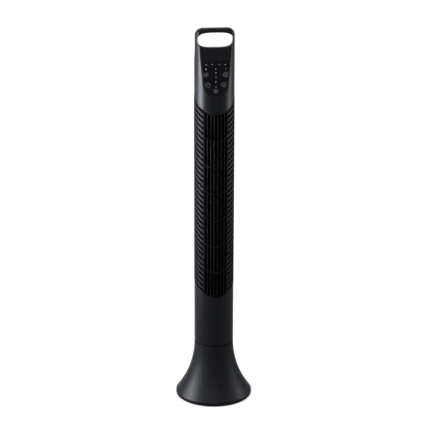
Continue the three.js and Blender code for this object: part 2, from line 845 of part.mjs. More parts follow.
// Indicator lights: place and size of each lens.
const LIGHTS = [
  [-28, 20.5, 5, 1.8],
  [-10, 21.2, 3.4, 1.8],
  [10, 21.2, 3.4, 1.8],
  [28, 20.5, 2.6, 2.6],
  [-29, 7.4, 2.6, 3.4],
  [0, 7.4, 3.4, 2],
  [29, 7.4, 2.6, 2.6],
  [0, -4, 3.2, 2.8],
  [0, -16.4, 3.2, 2.8],
  [0, -30, 3.2, 2.8],
];

function handleOutline() {
  const middle = (HANDLE_LOW + HANDLE_HIGH) / 2;
  const half = (HANDLE_HIGH - HANDLE_LOW) / 2;
  const bend = (value) => Math.sign(value) * Math.abs(value) ** (2 / HANDLE_POWER);
  return steps(0, 360 - 360 / 28, 27).map((a) => [
    HANDLE_HALF * bend(Math.cos(a * RAD)),
    middle + half * bend(Math.sin(a * RAD)),
  ]);
}

// Side view of the hollow behind the handle, grown inwards by a wall thickness.
function coveOutline(grow, far) {
  const centreY = BACK_Y + COVE_R;
  return [
    [BACK_Y - grow, HEIGHT + 10],
    ...arc(centreY, COVE_TOP, COVE_R + grow, 180, 270, 8),
    [far, COVE_TOP - COVE_R - grow],
    [far, HEIGHT + 10],
  ];
}

function headHousing() {
  const edgeCut = wall({
    innerR: CASING_IN - 1,
    outerR: CASING_R + 1,
    angles: ALL_ANGLES,
    low: () => 880,
    high: (a) => highEdge(a) + GAP,
    closed: true,
  });
  const silhouette = facingPrism(
    [
      [-BODY_R, 900],
      [BODY_R, 900],
      ...arc(BODY_R - TOP_CORNER_R, HEIGHT - TOP_CORNER_R, TOP_CORNER_R, 0, 90, 5),
      ...arc(TOP_CORNER_R - BODY_R, HEIGHT - TOP_CORNER_R, TOP_CORNER_R, 90, 180, 5),
    ],
    -70,
    70,
  );
  const pocket = inPocket(
    facingPrism(
      [
        ...arc(0, POCKET_ROUND_Z, POCKET_ROUND_R, 180, 360, 12),
        [70, -5],
        [70, 150],
        [-70, 150],
        [-70, -5],
      ],
      -40,
      0,
    ),
  );
  const hollowTop = HANDLE_LOW - 6;
  const hollow = cut(
    rod(BODY_R - WALL, 900, hollowTop, 0, 0, 44).intersect(
      sidePrism([
        [-BODY_R, 890],
        [BODY_R, 890],
        [BODY_R, HEIGHT],
        [pocketY(HEIGHT) + FLOOR_THICK, HEIGHT],
        [pocketY(FLOOR_LOW) + FLOOR_THICK, FLOOR_LOW],
        [-BODY_R, FLOOR_LOW],
      ]),
    ),
    [sidePrism(coveOutline(WALL, 90))],
  );
  const seat = inPocket(facingPrism(panelOutline(GAP), -10, PANEL_THICK + GAP));
  const window = inPocket(facingPrism(panelOutline(-2.4), -10, 12));
  const blank = rod(BODY_R, 915, HEIGHT, 0, 0, 44).intersect(silhouette);
  const handle = facingPrism(handleOutline(), -70, 70);
  const cove = sidePrism(coveOutline(0, 90));
  return cut(blank, [edgeCut, hollow, pocket, seat, window, handle, cove]);
}

// Panel-frame pieces: X across, Z up the floor, +Y into the head.
function controlPanel() {
  const holes = Object.values(BUTTONS).map(([x, z]) =>
    facingPrism(arc(x, z, BUTTON_R + 2 * GAP, 0, 337.5, 15), -5, 5),
  );
  const lights = LIGHTS.map(([x, z, wide, high]) =>
    block(wide + 2 * GAP, 10, high + 2 * GAP, x, 0, z),
  );
  return cut(facingPrism(panelOutline(0), 0, PANEL_THICK), [...holes, ...lights]);
}

function lightGuide() {
  const low = PANEL_THICK + 0.7;
  const bar = block(64, 1.2, 22, 0, low + 0.6, 13);
  const stem = block(8, 1.2, 40, 0, low + 0.6, -15);
  const lenses = LIGHTS.map(([x, z, wide, high]) =>
    block(wide, low + 0.6, high, x, (low + 0.6) / 2, z),
  );
  return joined([bar, stem, ...lenses]);
}

function controlBoard() {
  const middle = BOARD_FRONT + BOARD_THICK / 2;
  const board = block(58, BOARD_THICK, 88, 0, middle, -24);
  const switches = Object.values(BUTTONS).map(([x, z]) =>
    block(6, 3.6, 6, Math.sign(x) * Math.min(Math.abs(x), 25.5), BOARD_FRONT - 1.7, z),
  );
  return joined([board, ...switches]);
}

function button() {
  const capLow = -BUTTON_PROUD;
  const outline = [
    [0, capLow],
    [BUTTON_R - 0.5, capLow],
    [BUTTON_R, capLow + 0.5],
    [BUTTON_R, capLow + 1.2],
    [3, capLow + 1.2],
    [3, 3.4],
    [0, 3.4],
  ];
  return turned(outline, 12).rotate([-90, 0, 0]);
}

// ---------------------------------------------------------------- assembly

const fan = new THREE.Group();
fan.name = "tower_fan";

function place(name, body, material, group = fan) {
  const mesh = new THREE.Mesh(geometryOf(body), material);
  mesh.name = name;
  group.add(mesh);
  return mesh;
}

place("base_shell", baseShell(), MATERIAL.body);
place("base_plate", basePlate(), MATERIAL.inner);
place("counterweight", counterweight(), MATERIAL.steel);
for (let i = 0; i < FOOT_COUNT; i += 1) {
  const mesh = place(`foot_${i + 1}`, foot(), MATERIAL.rubber);
  mesh.position.set(...around(FOOT_RING, (360 / FOOT_COUNT) * i, 0));
}
baseScrewPlaces().forEach(([x, y], i) => {
  const mesh = place(`base_screw_${i + 1}`, screw(1.8, 3.6, 1.6, 16), MATERIAL.steel);
  mesh.position.set(x, y, PLATE_LOW - GAP);
});
place("cord_gland", cordGland(), MATERIAL.rubber);
place("pivot_bush", pivotBush(), MATERIAL.acetal);
place("thrust_washer", thrustWasher(), MATERIAL.acetal);
place("swing_motor", swingMotor(), MATERIAL.steel);
[-MOTOR_EAR, MOTOR_EAR].forEach((x, i) => {
  const mesh = place(`swing_motor_screw_${i + 1}`, screw(1.5, 3, 1.5, 6), MATERIAL.steel);
  mesh.position.set(x, PINION_Y, DECK_TOP - DECK_THICK - GAP - 2 - GAP);
});

const swingShaft = rod(PINION_SHAFT_R, DECK_TOP - 12, GEAR_HIGH - GAP, 0, 0, 12);
place("swing_shaft", swingShaft, MATERIAL.steel).position.set(0, PINION_Y, 0);
place("swing_pinion", swingPinion(), MATERIAL.acetal).position.set(0, PINION_Y, 0);

place("turntable", turntable(), MATERIAL.inner);
place("sector_gear", sectorGear(), MATERIAL.acetal);
place("retaining_nut", retainingNut(), MATERIAL.acetal);
turntableScrewPlaces().forEach(([x, y], i) => {
  const mesh = place(`turntable_screw_${i + 1}`, screw(1.8, 3.6, 1.6, 6), MATERIAL.steel);
  mesh.rotation.x = Math.PI;
  mesh.position.set(x, y, TURNTABLE_TOP + 2 * GAP + LEDGE_THICK);
});
place("lower_housing", lowerHousing(), MATERIAL.body);
place("motor_mount", motorMount(), MATERIAL.inner);
place("fan_motor", fanMotor(), MATERIAL.steel);
place("motor_capacitor", motorCapacitor(), MATERIAL.inner);
place("front_casing", frontCasing(), MATERIAL.ribs);
place("front_grille", frontGrille(), MATERIAL.ribs);
place("rear_casing", rearCasing(), MATERIAL.ribs);
rearScrewPlaces().forEach(([angle, z], i) => {
  const mesh = place(`rear_screw_${i + 1}`, screw(1.8, 3.4, 1.4, 8), MATERIAL.steel);
  const turn = new THREE.Group();
  turn.rotation.z = angle * RAD;
  turn.position.z = z;
  mesh.rotation.x = -Math.PI / 2;
  mesh.position.y = -CASING_R - GAP;
  turn.add(mesh);
  fan.add(turn);
});
place("air_scroll", airScroll(), MATERIAL.inner);
place("air_tongue", airTongue(), MATERIAL.inner);
place("top_plate", topPlate(), MATERIAL.inner);
place("top_bearing", topBearing(), MATERIAL.bronze);
place("head_housing", headHousing(), MATERIAL.body);

place("fan_wheel", fanWheel(), MATERIAL.inner);
place("wheel_hub", wheelHub(), MATERIAL.rubber);
place("motor_shaft", motorShaft(), MATERIAL.steel);

const pocketGroup = new THREE.Group();
pocketGroup.position.set(0, POCKET_DEPTH_Y, POCKET_Z);
pocketGroup.rotation.x = -POCKET_LEAN;
fan.add(pocketGroup);
place("control_panel", controlPanel(), MATERIAL.panel, pocketGroup);
place("light_guide", lightGuide(), MATERIAL.lens, pocketGroup);
place("control_board", controlBoard(), MATERIAL.board, pocketGroup);
for (const [name, [x, z]] of Object.entries(BUTTONS)) {
  place(name, button(), MATERIAL.button, pocketGroup).position.set(x, 0, z);
}

export default fan;
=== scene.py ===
"""Tower fan: the detailed visual model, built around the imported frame.

Shapes are worked out in millimetres and turned into metres when a mesh is made.
Angles round the column are in degrees from the front (-Y) and grow towards +X.
"""
import json
import math

import bmesh
import bpy
import numpy as np
from mathutils import Matrix, Vector


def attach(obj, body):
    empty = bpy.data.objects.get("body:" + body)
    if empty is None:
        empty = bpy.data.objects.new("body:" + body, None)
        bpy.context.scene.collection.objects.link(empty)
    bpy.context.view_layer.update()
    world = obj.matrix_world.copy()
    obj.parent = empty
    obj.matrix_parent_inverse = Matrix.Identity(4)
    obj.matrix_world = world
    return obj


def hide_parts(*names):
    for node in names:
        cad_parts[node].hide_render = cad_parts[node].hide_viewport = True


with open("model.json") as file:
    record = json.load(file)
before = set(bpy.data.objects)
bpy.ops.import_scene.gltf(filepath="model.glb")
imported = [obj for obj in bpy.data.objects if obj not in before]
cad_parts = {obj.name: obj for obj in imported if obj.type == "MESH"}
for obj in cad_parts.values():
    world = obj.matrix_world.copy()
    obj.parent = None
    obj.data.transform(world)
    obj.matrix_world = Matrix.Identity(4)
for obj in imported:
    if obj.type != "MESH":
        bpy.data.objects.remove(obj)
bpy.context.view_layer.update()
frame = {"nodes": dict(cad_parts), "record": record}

MM = 0.001

# ---- driving dimensions, mm

HEIGHT = 1170
BODY_R = 60
WALL = 2.6
GAP = 0.3
BASE_R = 117
SEAM_Z = 178
SEAM_DEEP = 1.9
RIM_LOW = 1.2
RIM_TOP = 11
FLARE_OUT = BASE_R - BODY_R
FLARE_DOWN = SEAM_Z - RIM_TOP
FLARE_R = (FLARE_OUT**2 + FLARE_DOWN**2) / (2 * FLARE_OUT)
DECK_TOP = 171
DECK_THICK = 3
BUSH_R = 20
PLATE_R = 112
PLATE_LOW = 3
PLATE_THICK = 2.4
BASE_SCREW_RING = 99
BASE_SCREW_ANGLES = (30, 150, 270)
SCREW_R = 1.8
SCREW_HOLE_R = 2.1
FOOT_R = 9
FOOT_RING = 100
FOOT_COUNT = 6
GLAND_Y = 108
GLAND_Z = 22
GLAND_HOLE_R = 5.8
POST_R = 4.5
POST_HEIGHTS = (6, 20)
LEDGE_R = 46
LEDGE_LOW = 184.5
LEDGE_HIGH = 187

GRILLE_LOW = 336.6
GRILLE_HIGH = 919
CASING_R = 60.5
CASING_IN = 57.6
RIB_IN = 56.7
RAIL_SINK = 1.5
CASING_END = 105
RAIL_IN = 34
RAIL_OUT = 38
SLOT_END = 97
SLOT_ROWS = 35
SLOT_SHARE = 0.45
SLOT_CORNER = 2
BORDER = 3
EDGE_ROUND = 35
EDGE_CLIMB = 0.57
CASING_HIGH = GRILLE_HIGH - GRILLE_LOW
SLOT_PITCH = CASING_HIGH / SLOT_ROWS
PER_DEGREE = CASING_R * math.pi / 180  # mm round the casing for one degree

BAR_COUNT = 6
BAR_PITCH = 10
BAR_WIDE = 3.2
BAR_DEEP = 4.5
BAR_FACE_R = 58.6
RING_COUNT = 6
RING_HIGH = 1.8
RING_IN = 57.4

REAR_COLUMNS = 8
REAR_BANDS = 5
REAR_SLOT_WIDE = 6
REAR_MARGIN = 14
REAR_SEAM = 0.3
REAR_SCREW_ANGLES = (150, 210)

WHEEL_R = 40
WHEEL_LOW = 346
WHEEL_HIGH = 926
WHEEL_BLADES = 36
WHEEL_SECTIONS = 4
DISC_THICK = 1.6
SHAFT_R = 3
SHAFT_TOP = 941
HUB_R = 9.3
DISC_HOLE_R = 24

POCKET_Z = 1046
POCKET_Y = -44.8
POCKET_LEAN = math.atan(0.1)
POCKET_ROUND_R = 38.6
POCKET_ROUND_Z = -35.2
FLOOR_THICK = 3
FLOOR_LOW = 962
PANEL_HALF_LOW = 34.6
PANEL_DROP = 36.6
PANEL_HALF_TOP = 41.6
PANEL_TOP = 30
PANEL_THICK = 1.2
BUTTON_R = 8
BUTTON_PROUD = 0.7
CAP_THICK = 1.2
STEM_R = 3
STEM_END = -3.4
PRINT_THICK = 0.16

HANDLE_LOW = 1116
HANDLE_HIGH = 1159
HANDLE_HALF = 51.5
HANDLE_POWER = 3.1
HANDLE_FALL = 0.15  # slope of the hole's floor towards the back
TOP_CORNER_R = 24
BACK_Y = -7.5
COVE_R = 68
COVE_TOP = 1112
HEAD_WALL = 3
HEAD_STEP = 1.1  # size of the head's mesh

# how far the head's edges are rounded
TOP_EDGE = 5.0
OPENING_EDGE = 3.6
COVE_EDGE = 3.0
POCKET_EDGE = 1.5
INNER_EDGE = 2.0

BUTTONS = {
    "speed": (-28.8, -9.5),
    "timer": (28.8, -9.5),
    "swing": (-23.6, -39.2),
    "mode": (23.6, -39.2),
    "power": (0, -58.8),
}

# place on the panel, then width and height of each lens
LIGHTS = [
    (-28, 20.5, 5, 1.8),
    (-10, 21.2, 3.4, 1.8),
    (10, 21.2, 3.4, 1.8),
    (28, 20.5, 2.6, 2.6),
    (-29, 7.4, 2.6, 3.4),
    (0, 7.4, 3.4, 2),
    (29, 7.4, 2.6, 2.6),
    (0, -4, 3.2, 2.8),
    (0, -16.4, 3.2, 2.8),
    (0, -30, 3.2, 2.8),
]

LIT = 4  # number of the lens that glows faintly

# ---- camera, floor and light

CAMERA_AZIMUTH = -5.5
CAMERA_PITCH = 19.4
CAMERA_DISTANCE = 5.221  # metres from the column's axis, along the floor
CAMERA_HEIGHT = 2.424
CAMERA_ASIDE = 0.0029  # small sideways step that frames the object
CAMERA_ROLL = 0.15
CAMERA_LENS = 152.8  # mm, on a sensor 36 mm wide


def add_object(name, data):
    obj = bpy.data.objects.new(name, data)
    bpy.context.scene.collection.objects.link(obj)
    return obj


def make_camera():
    """The photograph's camera, fitted to the object's outline."""
    data = bpy.data.cameras.new("camera")
    data.lens = CAMERA_LENS
    data.sensor_width = 36
    data.clip_start = 0.1
    data.clip_end = 200
    camera = add_object("camera", data)
    turn = math.radians(CAMERA_AZIMUTH)
    right = Vector((math.cos(turn), math.sin(turn), 0))
    back = Vector((math.sin(turn), -math.cos(turn), 0))
    place = back * CAMERA_DISTANCE + right * CAMERA_ASIDE
    camera.location = (place.x, place.y, CAMERA_HEIGHT)
    level = Matrix.Rotation(turn, 3, "Z") @ Matrix.Rotation(math.radians(90 - CAMERA_PITCH), 3, "X")
    camera.rotation_euler = (level @ Matrix.Rotation(math.radians(CAMERA_ROLL), 3, "Z")).to_euler()
    bpy.context.scene.camera = camera


def make_world():
    """Bright behind the fan, dim in front of it; the camera itself sees plain white."""
    world = bpy.data.worlds.new("studio")
    bpy.context.scene.world = world
    world.use_nodes = True
    nodes, links = world.node_tree.nodes, world.node_tree.links
    nodes.clear()
    place = nodes.new("ShaderNodeTexCoord")
    towards = nodes.new("ShaderNodeVectorMath")
    towards.operation = "DOT_PRODUCT"
    towards.inputs[1].default_value = (0, 0.94, -0.34)
    ramp = nodes.new("ShaderNodeValToRGB")
    ramp.color_ramp.interpolation = "EASE"
    ramp.color_ramp.elements[0].position = 0.76
    ramp.color_ramp.elements[0].color = (0.15, 0.155, 0.17, 1)
    ramp.color_ramp.elements[1].position = 0.97
    ramp.color_ramp.elements[1].color = (1, 1, 1, 1)
    path = nodes.new("ShaderNodeLightPath")
    mix = nodes.new("ShaderNodeMix")
    mix.data_type = "RGBA"
    mix.inputs[7].default_value = (1, 1, 1, 1)
    background = nodes.new("ShaderNodeBackground")
    output = nodes.new("ShaderNodeOutputWorld")
    links.new(place.outputs["Generated"], towards.inputs[0])
    links.new(towards.outputs["Value"], ramp.inputs[0])
    links.new(path.outputs["Is Camera Ray"], mix.inputs[0])
    links.new(ramp.outputs["Color"], mix.inputs[6])
    links.new(mix.outputs[2], background.inputs["Color"])
    links.new(background.outputs["Background"], output.inputs["Surface"])


def area_light(name, place, aim, size, power, color=(1, 1, 1)):
    data = bpy.data.lights.new(name, "AREA")
    data.shape = "RECTANGLE"
    data.size, data.size_y = size
    data.energy = power
    data.color = color
    light = add_object(name, data)
    light.location = place
    light.rotation_euler = (Vector(aim) - Vector(place)).to_track_quat("-Z", "Y").to_euler()


def make_lights():
    """A tall soft light at each side, the left one stronger, and a weak one over the camera."""
    area_light("left_softbox", (-1.15, -0.02, 0.81), (0, 0, 0.81), (0.42, 1.1), 20.5, (0.88, 0.91, 1))
    area_light("right_softbox", (1.15, -0.02, 0.86), (0, 0, 0.86), (0.42, 1.2), 5, (0.95, 0.96, 1))
    area_light("front_fill", (-0.6, -2.6, 2.4), (0, 0, 0.6), (1.6, 1.2), 5.6)


def make_floor():
    """A white floor that glows evenly, with a painted contact shadow where something stands close over it.
    """
    mesh = bpy.data.meshes.new("floor")
    reach = 40
    corners = [(-reach, -reach, 0), (reach, -reach, 0), (reach, reach, 0), (-reach, reach, 0)]
    mesh.from_pydata(corners, [], [(0, 1, 2, 3)])
    floor = add_object("floor", mesh)
    material = bpy.data.materials.new("floor_white")
    material.use_nodes = True
    nodes, links = material.node_tree.nodes, material.node_tree.links
    shader = nodes["Principled BSDF"]
    shader.inputs["Base Color"].default_value = (0.3, 0.3, 0.3, 1)
    shader.inputs["Roughness"].default_value = 1
    shader.inputs["Specular IOR Level"].default_value = 0
    shader.inputs["Emission Strength"].default_value = 1
    # painted contact shadow: ambient occlusion darkens the floor's glow close under the fan
    contact_shadow = nodes.new("ShaderNodeAmbientOcclusion")
    contact_shadow.inputs["Distance"].default_value = 0.02
    ramp = nodes.new("ShaderNodeValToRGB")
    ramp.color_ramp.elements[0].color = (0.02, 0.02, 0.022, 1)
    ramp.color_ramp.elements[1].position = 0.85
    links.new(contact_shadow.outputs["AO"], ramp.inputs[0])
    links.new(ramp.outputs["Color"], shader.inputs["Emission Color"])
    mesh.materials.append(material)
    floor.visible_glossy = False
    floor.visible_diffuse = False


# ---- materials


class Nodes:
    """A Principled material and short ways to wire texture nodes into it."""

    def __init__(self, name, color, roughness, metallic=0.0, specular=0.5):
        self.material = bpy.data.materials.new(name)
        self.material.use_nodes = True
        self.tree = self.material.node_tree
        self.shader = self.tree.nodes["Principled BSDF"]
        self.shader.inputs["Base Color"].default_value = (*color, 1)
        self.shader.inputs["Roughness"].default_value = roughness
        self.shader.inputs["Metallic"].default_value = metallic
        self.shader.inputs["Specular IOR Level"].default_value = specular
        self.place = self.add("ShaderNodeTexCoord").outputs["Object"]

    def add(self, kind, **settings):
        node = self.tree.nodes.new(kind)
        for key, value in settings.items():
            setattr(node, key, value)
        return node

    def link(self, source, target):
        self.tree.links.new(source, target)

    def color(self, source):
        self.link(source, self.shader.inputs["Base Color"])

    def roughness(self, source):
        self.link(source, self.shader.inputs["Roughness"])

    def milky(self, share):
        """Lets a little light scatter inside."""
        self.shader.inputs["Subsurface Weight"].default_value = share
        self.shader.inputs["Subsurface Radius"].default_value = (0.002, 0.002, 0.002)

    def noise(self, scale, detail=3.0, stretch=(1, 1, 1)):
        mapping = self.add("ShaderNodeMapping")
        mapping.inputs["Scale"].default_value = stretch
        self.link(self.place, mapping.inputs["Vector"])
        node = self.add("ShaderNodeTexNoise")
        node.inputs["Scale"].default_value = scale
        node.inputs["Detail"].default_value = detail
        self.link(mapping.outputs["Vector"], node.inputs["Vector"])
        return node.outputs["Fac"]

    def ramp(self, source, low, high, start=0.3, end=0.7):
        """Spreads a 0..1 value over two colours or two greys."""
        node = self.add("ShaderNodeValToRGB")
        first, last = node.color_ramp.elements
        first.position, last.position = start, end
        first.color = (*low, 1) if isinstance(low, tuple) else (low, low, low, 1)
        last.color = (*high, 1) if isinstance(high, tuple) else (high, high, high, 1)
        self.link(source, node.inputs[0])
        return node.outputs["Color"]

    def mix(self, factor, first, second):
        node = self.add("ShaderNodeMix", data_type="RGBA")
        for socket, value in ((node.inputs[0], factor), (node.inputs[6], first), (node.inputs[7], second)):
            if isinstance(value, bpy.types.NodeSocket):
                self.link(value, socket)
            elif isinstance(value, tuple):
                socket.default_value = (*value, 1)
            else:
                socket.default_value = value
        return node.outputs[2]

    def bump(self, *layers):
        """Stacks bump layers, each a height source, a strength and a depth in metres."""
        normal = None
        for source, strength, depth in layers:
            node = self.add("ShaderNodeBump")
            node.inputs["Strength"].default_value = strength
            node.inputs["Distance"].default_value = depth
            self.link(source, node.inputs["Height"])
            if normal is not None:
                self.link(normal, node.inputs["Normal"])
            normal = node.outputs["Normal"]
        self.link(normal, self.shader.inputs["Normal"])

    def edges(self):
        """High on worn, outward edges."""
        return self.add("ShaderNodeNewGeometry").outputs["Pointiness"]

    def up_facing(self):
        """1 where the surface faces up and dust can settle."""
        axes = self.add("ShaderNodeSeparateXYZ")
        self.link(self.add("ShaderNodeNewGeometry").outputs["Normal"], axes.inputs[0])
        return axes.outputs["Z"]


def moulded_plastic(name, color, worn, roughness, grain_scale, grain_depth, specular=0.5):
    """Satin moulded plastic: fine spark-eroded grain, faint flow marks, dust on top, worn edges."""
    n = Nodes(name, color, roughness, specular=specular)
    light = tuple(c * 1.35 + 0.0008 for c in color)
    cloud = n.noise(9, 4)
    tint = n.ramp(cloud, color, light, 0.35, 0.75)
    dusty = n.mix(n.ramp(n.up_facing(), 0.0, 0.10, 0.75, 1.0), tint, (0.16, 0.155, 0.15))
    wear = n.mix(n.ramp(n.edges(), 0.0, 0.35, 0.53, 0.62), dusty, worn)
    n.color(wear)
    smudge = n.noise(26, 5, (1, 1, 0.45))
    n.roughness(n.ramp(smudge, roughness - 0.035, roughness + 0.055, 0.3, 0.7))
    grain = n.noise(grain_scale, 2)
    flow = n.noise(60, 2, (1, 1, 0.2))
    n.bump((flow, 0.06, 0.0004), (grain, 0.35, grain_depth))
    return n.material


def gloss_panel(name):
    n = Nodes(name, (0.004, 0.004, 0.005), 0.1, specular=0.42)
    smear = n.noise(48, 5, (1, 1, 0.6))
    n.roughness(n.ramp(smear, 0.07, 0.2, 0.35, 0.75))
    n.color(n.ramp(n.noise(30, 3), (0.0035, 0.0035, 0.0045), (0.006, 0.006, 0.0075)))
    n.bump((n.noise(400, 1), 0.03, 0.00005))
    return n.material


def textured(name, color, tones, tone_noise, dull, dull_noise, grain, **look):
    """A material whose tone and roughness wander between two values, over a fine bump."""
    n = Nodes(name, color, dull[0], **look)
    n.color(n.ramp(n.noise(*tone_noise), *tones))
    n.roughness(n.ramp(n.noise(*dull_noise), *dull))
    scale, detail, strength, depth = grain
    n.bump((n.noise(scale, detail), strength, depth))
    return n


def button_plastic(name, color):
    tones = (color, tuple(c * 1.25 for c in color))
    grain = (2600, 1, 0.2, 0.00002)
    return textured(name, color, tones, (160, 3), (0.26, 0.4), (260, 4), grain).material


def print_ink(name, color):
    """Pad-printed ink: slightly uneven coverage."""
    n = Nodes(name, color, 0.5)
    thin = tuple(c * 0.72 for c in color)
    n.color(n.ramp(n.noise(1400, 2), thin, color, 0.3, 0.55))
    n.bump((n.noise(3000, 1), 0.25, 0.00002))
    return n.material


def frosted_lens(name):
    n = Nodes(name, (0.5, 0.52, 0.57), 0.38)
    n.color(n.ramp(n.noise(500, 2), (0.78, 0.8, 0.86), (0.9, 0.92, 0.95)))
    n.milky(0.2)
    n.bump((n.noise(2200, 1), 0.3, 0.00003))
    return n.material


def lit_lens(name):
    n = Nodes(name, (0.85, 0.87, 0.92), 0.4)
    glow = n.ramp(n.noise(700, 2), (0.6, 0.62, 0.7), (0.85, 0.87, 0.95))
    n.link(glow, n.shader.inputs["Emission Color"])
    n.shader.inputs["Emission Strength"].default_value = 0.55
    n.bump((n.noise(2200, 1), 0.2, 0.00003))
    return n.material


def rubber(name):
    color, tones = (0.014, 0.014, 0.014), ((0.011, 0.011, 0.011), (0.022, 0.021, 0.02))
    grain = (1800, 3, 0.5, 0.0001)
    return textured(name, color, tones, (120, 4), (0.72, 0.9), (300, 3), grain, specular=0.3).material


def zinc_steel(name):
    """Zinc-plated steel: bluish sheen, fine turning marks, a few dull spots."""
    n = Nodes(name, (0.47, 0.48, 0.5), 0.34, metallic=1.0)
    tone = n.ramp(n.noise(90, 4), (0.38, 0.39, 0.42), (0.56, 0.57, 0.58))
    spots = n.ramp(n.noise(420, 5), 0.0, 0.5, 0.6, 0.72)
    n.color(n.mix(spots, tone, (0.2, 0.19, 0.18)))
    n.roughness(n.ramp(n.noise(700, 3, (1, 1, 4)), 0.25, 0.45))
    n.bump((n.noise(1500, 2, (1, 1, 6)), 0.2, 0.00003))
    return n.material


def painted_iron(name):
    color, tones = (0.045, 0.045, 0.047), ((0.03, 0.03, 0.032), (0.075, 0.07, 0.066))
    grain = (260, 4, 0.6, 0.0005)
    return textured(name, color, tones, (70, 5), (0.5, 0.75), (160, 3), grain).material


def sintered_bronze(name):
    color, tones = (0.42, 0.28, 0.12), ((0.3, 0.19, 0.08), (0.5, 0.34, 0.16))
    grain = (2400, 3, 0.5, 0.00006)
    return textured(name, color, tones, (900, 4), (0.34, 0.55), (600, 3), grain, metallic=1.0).material


def acetal(name):
    color, tones = (0.74, 0.72, 0.66), ((0.68, 0.66, 0.6), (0.79, 0.77, 0.71))
    n = textured(name, color, tones, (80, 3), (0.36, 0.5), (240, 3), (1600, 2, 0.25, 0.00004))
    n.milky(0.1)
    return n.material


def circuit_board(name):
    """Green solder mask over copper tracks."""
    n = Nodes(name, (0.02, 0.1, 0.04), 0.3)
    tracks = n.add("ShaderNodeTexBrick")
    n.link(n.place, tracks.inputs["Vector"])
    tracks.inputs["Scale"].default_value = 160
    tracks.inputs["Mortar Size"].default_value = 0.035
    tracks.inputs["Color1"].default_value = (0.012, 0.075, 0.03, 1)
    tracks.inputs["Color2"].default_value = (0.016, 0.09, 0.034, 1)
    tracks.inputs["Mortar"].default_value = (0.05, 0.2, 0.07, 1)
    n.color(tracks.outputs["Color"])
    n.roughness(n.ramp(n.noise(300, 2), 0.24, 0.38))
    n.bump((tracks.outputs["Fac"], 0.3, 0.00008))
    return n.material


def make_materials():
    worn, body = (0.05, 0.05, 0.055), (0.0078, 0.0084, 0.0108)
    ribs, cover = (0.006, 0.0064, 0.0082), (0.0075, 0.0078, 0.009)
    inner, inner_worn = (0.0016, 0.0016, 0.0018), (0.008, 0.008, 0.009)
    return {
        "body_black": moulded_plastic("satin_black", body, worn, 0.36, 2400, 0.00004),
        "base_black": moulded_plastic("base_black", body, worn, 0.44, 2200, 0.00005, 0.46),
        "ribbed_black": moulded_plastic("ribbed_black", ribs, worn, 0.54, 2000, 0.00005, 0.36),
        "inner_black": moulded_plastic("inner_black", inner, inner_worn, 0.8, 1200, 0.0001, 0.06),
        "cover_black": moulded_plastic("cover_black", cover, worn, 0.5, 1400, 0.00008),
        "panel_gloss": gloss_panel("panel_gloss"),
        "button_grey": button_plastic("button_grey", (0.085, 0.086, 0.098)),
        "button_black": button_plastic("button_black", (0.007, 0.007, 0.0085)),
        "print_pale": print_ink("print_pale", (0.75, 0.76, 0.82)),
        "lens_clear": frosted_lens("lens_frosted"),
        "lens_lit": lit_lens("lens_lit"),
        "acetal_white": acetal("acetal_natural"),
        "board_green": circuit_board("board_green"),
        "rubber_black": rubber("rubber_black"),
        "steel": zinc_steel("zinc_steel"),
        "cast_weight": painted_iron("painted_iron"),
        "bronze": sintered_bronze("sintered_bronze"),
    }


# ---- mesh tools

SHARP_ANGLE = 42  # edges that turn by more than this many degrees are shaded sharp


def cleaned(mesh):
    """The mesh with its shared corners welded and all faces turned outwards."""
    work = bmesh.new()
    work.from_mesh(mesh)
    bmesh.ops.remove_doubles(work, verts=work.verts, dist=1e-6)
    bmesh.ops.dissolve_degenerate(work, edges=work.edges, dist=1e-7)
    bmesh.ops.recalc_face_normals(work, faces=work.faces)
    work.to_mesh(mesh)
    work.free()
    return mesh


def mesh_from(verts, faces):
    """A mesh in metres from points in mm."""
    mesh = bpy.data.meshes.new("made")
    mesh.from_pydata([tuple(float(c) * MM for c in v) for v in verts], [], faces)
    return cleaned(mesh)


def joined(meshes):
    """Several meshes as one, each a closed island."""
    work = bmesh.new()
    for mesh in meshes:
        work.from_mesh(mesh)
    made = bpy.data.meshes.new("made")
    work.to_mesh(made)
    work.free()
    return made


def moved(mesh, matrix):
    mesh = mesh.copy()
    mesh.transform(matrix)
    return mesh


def shifted(mesh, x=0, y=0, z=0):
    """A copy moved by millimetres."""
    return moved(mesh, Matrix.Translation((x * MM, y * MM, z * MM)))


def on_ring(mesh, radius, degrees, z=0):
    """A copy moved out to a place on a ring round the column's axis."""
    return shifted(mesh, *around(radius, degrees, z))


def evaluated(obj):
    graph = bpy.context.evaluated_depsgraph_get()
    return bpy.data.meshes.new_from_object(obj.evaluated_get(graph))


def combined(mesh, tool, operation):
    """Boolean of two closed meshes: DIFFERENCE or UNION."""
    body = add_object("boolean_body", mesh)
    other = add_object("boolean_tool", tool)
    modifier = body.modifiers.new("boolean", "BOOLEAN")
    modifier.operation = operation
    modifier.solver = "EXACT"
    modifier.object = other
    made = evaluated(body)
    bpy.data.objects.remove(body)
    bpy.data.objects.remove(other)
    return made


def cut(mesh, tool):
    return combined(mesh, tool, "DIFFERENCE")


def softened(mesh, width, segments=2, angle=30):
    """The mesh with its sharp edges rounded, applied."""
    body = add_object("bevel_body", mesh)
    add_bevel(body, width, segments, angle)
    made = evaluated(body)
    bpy.data.objects.remove(body)
    return made


def add_bevel(obj, width, segments=2, angle=30):
    modifier = obj.modifiers.new("bevel", "BEVEL")
    modifier.width = width * MM
    modifier.segments = segments
    modifier.limit_method = "ANGLE"
    modifier.angle_limit = math.radians(angle)
    modifier.use_clamp_overlap = True
    modifier.harden_normals = True


